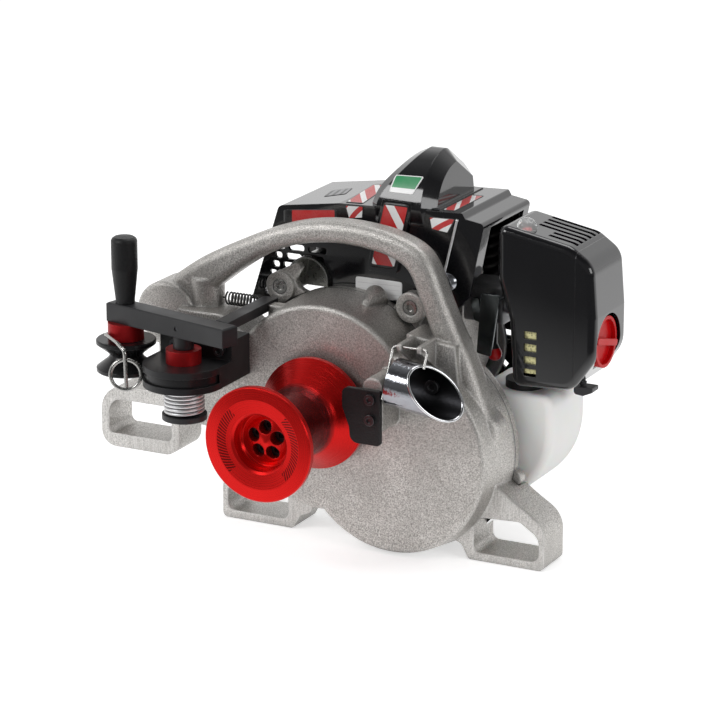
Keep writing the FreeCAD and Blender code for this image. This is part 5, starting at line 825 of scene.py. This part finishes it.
class WINCH_OT_guide_lip(bpy.types.Operator):
    """Rolls the bright lip round the rope guide's mouth"""

    bl_idname = "winch.guide_lip"
    bl_label = "Guide lip"

    def execute(self, context):
        _, detail, _ = settings()
        fixed_piece("guide_lip", self.lip(detail), "plated_sheet", wrap_rows=True)
        return {"FINISHED"}

    def lip(self, detail):
        """Round wire on the edge of the tube's mouth.

        At angle a the edge lies on the tube's middle radius, as far along the axis as the slanted cut allows,
        or at the square end if that comes first: reach = min(n . (cut - spoke) / n . heading, length).
        """
        steps, sides = 160, 10
        start, heading = guide_axis(detail)
        angle = turned_round(steps)[:, None]
        spoke = np.cos(angle) * Y_AXIS + np.sin(angle) * np.cross(heading, Y_AXIS)
        spoke = spoke * (detail.guide_radius - detail.guide_wall / 2)
        normal = np.array(detail.cut_normal)
        reach = np.sum(normal * (np.array(detail.cut_place) - spoke), axis=1) / np.dot(normal, heading)
        reach = np.minimum(reach, detail.guide_length)
        edge = start + spoke + reach[:, None] * heading
        return tube_points(edge, spoke, detail.lip_radius, sides, closed=True)


# Stickers: name, finish, node, axis they are pressed along, then the lower left, lower right, upper left and
# upper right corner in millimetres of the drawing, as (x, z) for axis Y and (x, y) for axis Z
STICKERS = (
    ("front_panel", "label_panel", "engine_shroud", "Y",
     [(-104, 279), (-49, 284), (-104, 291.5), (-49, 298)]),
    ("left_corner", "label_corner", "engine_shroud", "Y", [(-37, 291), (-23, 293), (-41, 303), (-22, 304)]),
    ("right_corner", "label_corner", "engine_shroud", "Y", [(46, 291), (62, 289), (43, 302), (70, 303)]),
    ("band_badge", "label_badge", "plug_cover", "Y", [(-13.5, 250), (11.5, 250), (0.5, 312), (26, 312)]),
    ("green_badge", "label_green", "plug_cover", "Y", [(3, 320), (27, 320), (5, 334), (33, 335)]),
    ("white_plate", "label_plate", "engine_shroud", "Y", [(-30, 216), (17, 221), (-30, 238), (17, 238)]),
    ("roof_mark", "label_mark", "engine_shroud", "Z", [(-79, 81), (-61, 90), (-84, 107), (-67, 116)]),
    ("left_strip", "label_badge", "engine_shroud", "Z", [(-43, 54), (-25, 54), (-52, 130), (-36, 130)]),
    ("right_strip", "label_badge", "engine_shroud", "Z", [(54, 54), (66, 54), (54, 118), (66, 118)]),
)


class WINCH_OT_labels(bpy.types.Operator):
    """Puts the plain coloured stickers on the engine's covers"""

    bl_idname = "winch.labels"
    bl_label = "Stickers"

    def execute(self, context):
        look, detail, _ = settings()
        red, white, black = look.label_red, look.label_white, look.plastic
        label_finish("label_panel", red, black, black, bars=1.0, slant=0.0, fill=0.16)
        label_finish("label_badge", red, white, black, bars=1.0, slant=2.0, fill=0.34)
        label_finish("label_corner", white, red, black, bars=1.0, slant=-0.8, fill=0.42)
        label_finish("label_green", look.label_green, white, white, bars=0.0, slant=1.0, fill=0.3)
        label_finish("label_plate", white, (0.66, 0.66, 0.66), white, bars=0.0, slant=4.0, fill=0.12)
        label_finish("label_mark", (0.22, 0.22, 0.23), black, black, bars=3.0, slant=0.0, fill=0.45)
        for sticker in STICKERS:
            self.stick(detail, *sticker)
        return {"FINISHED"}

    def stick(self, detail, name, finish, node, axis, corners):
        """Rounded patch pressed on a node along one axis.

        A point is the bilinear mean of the four corners at (u, v), each pulled in by a small share of the
        tenth power of the other, which rounds the patch's corners.
        """
        steps, rounding, power, clear = 25, 0.04, 10, 0.01
        low, high = box_of(node)
        origin_x, origin_z, origin_y = detail.drawing
        flat = np.array(corners, float) * MM
        if axis == "Y":
            off = np.full(4, low[1] - clear)
            start = np.stack([flat[:, 0] + origin_x, off, flat[:, 1] + origin_z], axis=1)
        else:
            off = np.full(4, high[2] + clear)
            start = np.stack([flat[:, 0] + origin_x, flat[:, 1] + origin_y, off], axis=1)
        run = np.linspace(-1, 1, steps)
        u, v = np.meshgrid(run, run)
        across = (u * (1 - rounding * np.abs(v) ** power) + 1) / 2
        up = (v * (1 - rounding * np.abs(u) ** power) + 1) / 2
        left, under = 1 - across, 1 - up
        share = np.stack([left * under, across * under, left * up, across * up], axis=-1)
        uv = np.stack([(u + 1) / 2, (v + 1) / 2], axis=-1)
        piece = new_piece(name, share @ start, grid_faces(steps, steps), bpy.data.materials[finish], uv,
                          turn_out=False)
        self.press(piece, node, axis)
        film = piece.modifiers.new("film", "SOLIDIFY")
        film.thickness = detail.label_thick
        film.offset = 1.0
        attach(piece, "frame")

    def press(self, piece, node, axis):
        """Moves each point of the patch straight back or down onto the node, and keeps the result as mesh."""
        wrap = piece.modifiers.new("press", "SHRINKWRAP")
        wrap.target = frame["nodes"][node]
        wrap.wrap_method = "PROJECT"
        wrap.use_project_y = axis == "Y"
        wrap.use_project_z = axis == "Z"
        wrap.use_positive_direction = axis == "Y"
        wrap.use_negative_direction = axis == "Z"
        bpy.context.view_layer.update()
        solved = piece.evaluated_get(bpy.context.evaluated_depsgraph_get())
        pressed = bpy.data.meshes.new_from_object(solved)
        piece.modifiers.remove(wrap)
        piece.data = pressed


class WINCH_OT_trim(bpy.types.Operator):
    """Sets the starter cover's screws, a bright bar that paints the highlight of the engine cover's front edge,
    and the primer's core
    """

    bl_idname = "winch.trim"
    bl_label = "Trim"

    def execute(self, context):
        _, detail, _ = settings()
        self.set_screws(detail)
        self.lay_edge_highlight(detail)
        self.seat_core(detail)
        return {"FINISHED"}

    def set_screws(self, detail):
        """Five pan heads with hexagon sockets on a ring round the starter's axis, halfway between its slots.

        A head is a profile of radius and height turned round its own axis; in the socket's rows the radius at
        angle a is the flat distance over the cosine of a folded into one sixth of a turn.
        """
        steps, screws, first_angle = 48, 5, math.radians(18)
        rim_shares = (1.0, 1.0, 0.94, 0.80)
        height_shares = np.array([0.0, 0.62, 0.86, 1.0, 1.0, 0.45])
        flat_share = 0.5
        around = turned_round(steps)
        sixth = FULL_TURN / 6
        hexagon = flat_share * detail.screw_radius / np.cos((around % sixth) - sixth / 2)
        rings = [np.full_like(around, detail.screw_radius * share) for share in rim_shares]
        rings += [hexagon, hexagon]
        spoke = np.cos(around)[:, None] * X_AXIS + np.sin(around)[:, None] * Z_AXIS
        head = np.stack(rings)[:, :, None] * spoke
        head = head + (height_shares * detail.screw_height)[:, None, None] * Y_AXIS
        centre = middle("starter_housing")
        centre[1] = box_of("starter_housing")[1][1] - detail.screw_sink
        for number, turn in enumerate(turned_round(screws) + first_angle, 1):
            place = centre + detail.screw_ring * (math.cos(turn) * X_AXIS + math.sin(turn) * Z_AXIS)
            fixed_piece(f"starter_screw_{number}", head + place, "dark_steel", "bolt_zinc", smooth=False)

    def lay_edge_highlight(self, detail):
        """Straight bright round bar, half sunk in the front wall, up the edge where the wall turns back: a
        painted highlight of that edge.
        """
        steps, sides = 24, 16
        foot, top = np.array([[58.2, 248.0], [71.4, 303.0]]) * MM + np.array(detail.drawing)[:2]
        line = np.linspace(foot, top, steps)
        face = box_of("engine_shroud")[0][1]
        path = np.stack([line[:, 0], np.full(steps, face), line[:, 1]], axis=1)
        points = tube_points(path, np.tile(Y_AXIS, (steps, 1)), detail.highlight_bar_radius, sides)
        # Painted highlight: plated bar where the black edge only catches light
        fixed_piece("painted_edge_highlight", points, "zinc_wire")

    def seat_core(self, detail):
        """Half ball on the bulb's base: radius r cos b, height r sin b, b from 0 to near a quarter turn."""
        rows, sides, last_rise = 12, 32, 0.49 * math.pi
        rise = np.linspace(0, last_rise, rows)[:, None, None]
        around = turned_round(sides)[None, :, None]
        base = middle("primer_bulb")
        base[2] = box_of("primer_bulb")[0][2] + detail.core_radius / 2
        spoke = np.cos(around) * X_AXIS + np.sin(around) * Y_AXIS
        points = base + detail.core_radius * (np.cos(rise) * spoke + np.sin(rise) * Z_AXIS)
        fixed_piece("primer_core", points, "red_plastic")


class WINCH_OT_stage(bpy.types.Operator):
    """Sets the floor, the white surroundings, the lamps and the camera"""

    bl_idname = "winch.stage"
    bl_label = "Studio"

    def execute(self, context):
        _, _, stage = settings()
        self.lay_floor(stage)
        self.set_world(stage)
        self.hang_lamp("key_lamp", (-1.5, -2.2, 2.1), 1.6, stage.key_power, stage)
        self.hang_lamp("side_lamp", (2.6, -0.6, 1.0), 1.3, stage.side_power, stage)
        self.hang_lamp("top_lamp", (0.3, 0.9, 2.6), 1.5, stage.top_power, stage)
        self.place_camera(stage)
        context.scene.view_settings.view_transform = "Standard"
        return {"FINISHED"}

    def seen(self, tree):
        """1 for camera, mirror and see-through rays, 0 for the rest."""
        rays = add(tree, "ShaderNodeLightPath").outputs
        direct = maths(tree, "ADD", rays["Is Camera Ray"], rays["Is Glossy Ray"], clamp=True)
        return maths(tree, "ADD", direct, rays["Is Transmission Ray"], clamp=True)

    def facing(self, stage):
        """Level direction from the winch to the camera."""
        return (math.sin(stage.azimuth), -math.cos(stage.azimuth), 0)

    def lay_floor(self, stage):
        """White sweep under and behind the winch; in mirrors it fades to a dim room ahead of it."""
        half_span, drop, steps = 6.0, 0.0005, 3
        fade_start, fade_end, dim, glow_level = 0.22, 0.60, 0.10, 0.55
        material = bpy.data.materials.new("pale_floor")
        material.use_nodes = True
        tree = material.node_tree
        tree.nodes.clear()
        speck = stretch(tree, noise(tree, 60.0, 3.0), *NOISE_SPAN, 0.78, 0.82)
        ahead = vector_maths(tree, "DOT_PRODUCT", place_of(tree), self.facing(stage))
        sweep = stretch(tree, ahead, fade_start, fade_end, 1.0, dim)
        mirror = add(tree, "ShaderNodeLightPath").outputs["Is Glossy Ray"]
        level = colour_mix(tree, mirror, (1, 1, 1), sweep)
        paint = add(tree, "ShaderNodeBsdfDiffuse", {"Color": times(tree, speck, level)})
        glow = add(tree, "ShaderNodeEmission", {"Color": level, "Strength": glow_level})
        both = add(tree, "ShaderNodeAddShader")
        tree.links.new(paint.outputs[0], both.inputs[0])
        tree.links.new(glow.outputs[0], both.inputs[1])
        pick = add(tree, "ShaderNodeMixShader")
        tree.links.new(self.seen(tree), pick.inputs[0])
        tree.links.new(paint.outputs[0], pick.inputs[1])
        tree.links.new(both.outputs[0], pick.inputs[2])
        sink = add(tree, "ShaderNodeOutputMaterial")
        tree.links.new(pick.outputs[0], sink.inputs["Surface"])
        span = np.linspace(-half_span, half_span, steps)
        x, y = np.meshgrid(span, span)
        points = np.stack([x, y, np.full_like(x, -drop)], axis=-1)
        new_piece("floor", points, grid_faces(steps, steps), material)

    def set_world(self, stage):
        """White for the camera; in mirrors white behind, dim ahead and overhead; soft grey for the rest."""
        soft_grey = (0.48, 0.48, 0.48)
        dim_ahead, dim_above = 0.18, 0.35
        world = bpy.data.worlds.new("white_room")
        bpy.context.scene.world = world
        world.use_nodes = True
        tree = world.node_tree
        tree.nodes.clear()
        rays = add(tree, "ShaderNodeLightPath").outputs
        way = add(tree, "ShaderNodeTexCoord").outputs["Generated"]
        ahead = vector_maths(tree, "DOT_PRODUCT", way, self.facing(stage))
        room = times(tree, stretch(tree, ahead, -0.35, 0.3, 1.0, dim_ahead),
                     stretch(tree, split(tree, way)["Z"], 0.5, 0.85, 1.0, dim_above))
        mirror = maths(tree, "ADD", rays["Is Glossy Ray"], rays["Is Transmission Ray"], clamp=True)
        level = colour_mix(tree, mirror, soft_grey, room)
        level = colour_mix(tree, rays["Is Camera Ray"], level, (1, 1, 1))
        back = add(tree, "ShaderNodeBackground", {"Color": level, "Strength": 1.0})
        sink = add(tree, "ShaderNodeOutputWorld")
        tree.links.new(back.outputs[0], sink.inputs["Surface"])

    def hang_lamp(self, name, place, size, power, stage):
        """Area lamp aimed at the winch, lower than it is wide."""
        height_share = 0.7
        data = bpy.data.lights.new(name, "AREA")
        data.shape = "RECTANGLE"
        data.size = size
        data.size_y = size * height_share
        data.energy = power
        lamp = bpy.data.objects.new(name, data)
        bpy.context.scene.collection.objects.link(lamp)
        lamp.location = place
        aim = Vector(stage.target) - lamp.location
        lamp.rotation_euler = aim.to_track_quat("-Z", "Y").to_euler()

    def place_camera(self, stage):
        """Camera at its distance from the target, turned and raised, looking back at it."""
        data = bpy.data.cameras.new("camera")
        data.sensor_fit = "HORIZONTAL"
        data.sensor_width = 36.0
        data.lens = stage.lens
        data.clip_end = 50.0
        camera = bpy.data.objects.new("camera", data)
        bpy.context.scene.collection.objects.link(camera)
        back = Vector(self.facing(stage)) * math.cos(stage.elevation)
        back.z = math.sin(stage.elevation)
        camera.location = Vector(stage.target) + back * stage.distance
        camera.rotation_euler = (-back).to_track_quat("-Z", "Y").to_euler()
        bpy.context.scene.camera = camera


class WINCH_PT_looks(bpy.types.Panel):
    """Lists the steps that dress the winch"""

    bl_idname = "WINCH_PT_looks"
    bl_label = "Winch"
    bl_space_type = "VIEW_3D"
    bl_region_type = "UI"
    bl_category = "Winch"

    def draw(self, context):
        for step in STEPS:
            self.layout.operator(step.bl_idname)


STEPS = (WINCH_OT_stage, WINCH_OT_finishes, WINCH_OT_springs, WINCH_OT_guide_lip, WINCH_OT_labels,
         WINCH_OT_trim)
SETTINGS = {
    "winch_finish": WinchFinishSettings,
    "winch_detail": WinchDetailSettings,
    "winch_stage": WinchStageSettings,
}


def register():
    for group in SETTINGS.values():
        bpy.utils.register_class(group)
    for name, group in SETTINGS.items():
        setattr(bpy.types.Scene, name, PointerProperty(type=group))
    for step in STEPS:
        bpy.utils.register_class(step)
    bpy.utils.register_class(WINCH_PT_looks)


def unregister():
    bpy.utils.unregister_class(WINCH_PT_looks)
    for step in reversed(STEPS):
        bpy.utils.unregister_class(step)
    for name, group in SETTINGS.items():
        delattr(bpy.types.Scene, name)
        bpy.utils.unregister_class(group)


def main():
    register()
    bpy.ops.winch.stage()
    bpy.ops.winch.finishes()
    bpy.ops.winch.springs()
    bpy.ops.winch.guide_lip()
    bpy.ops.winch.labels()
    bpy.ops.winch.trim()


if __name__ == "__main__":
    main()
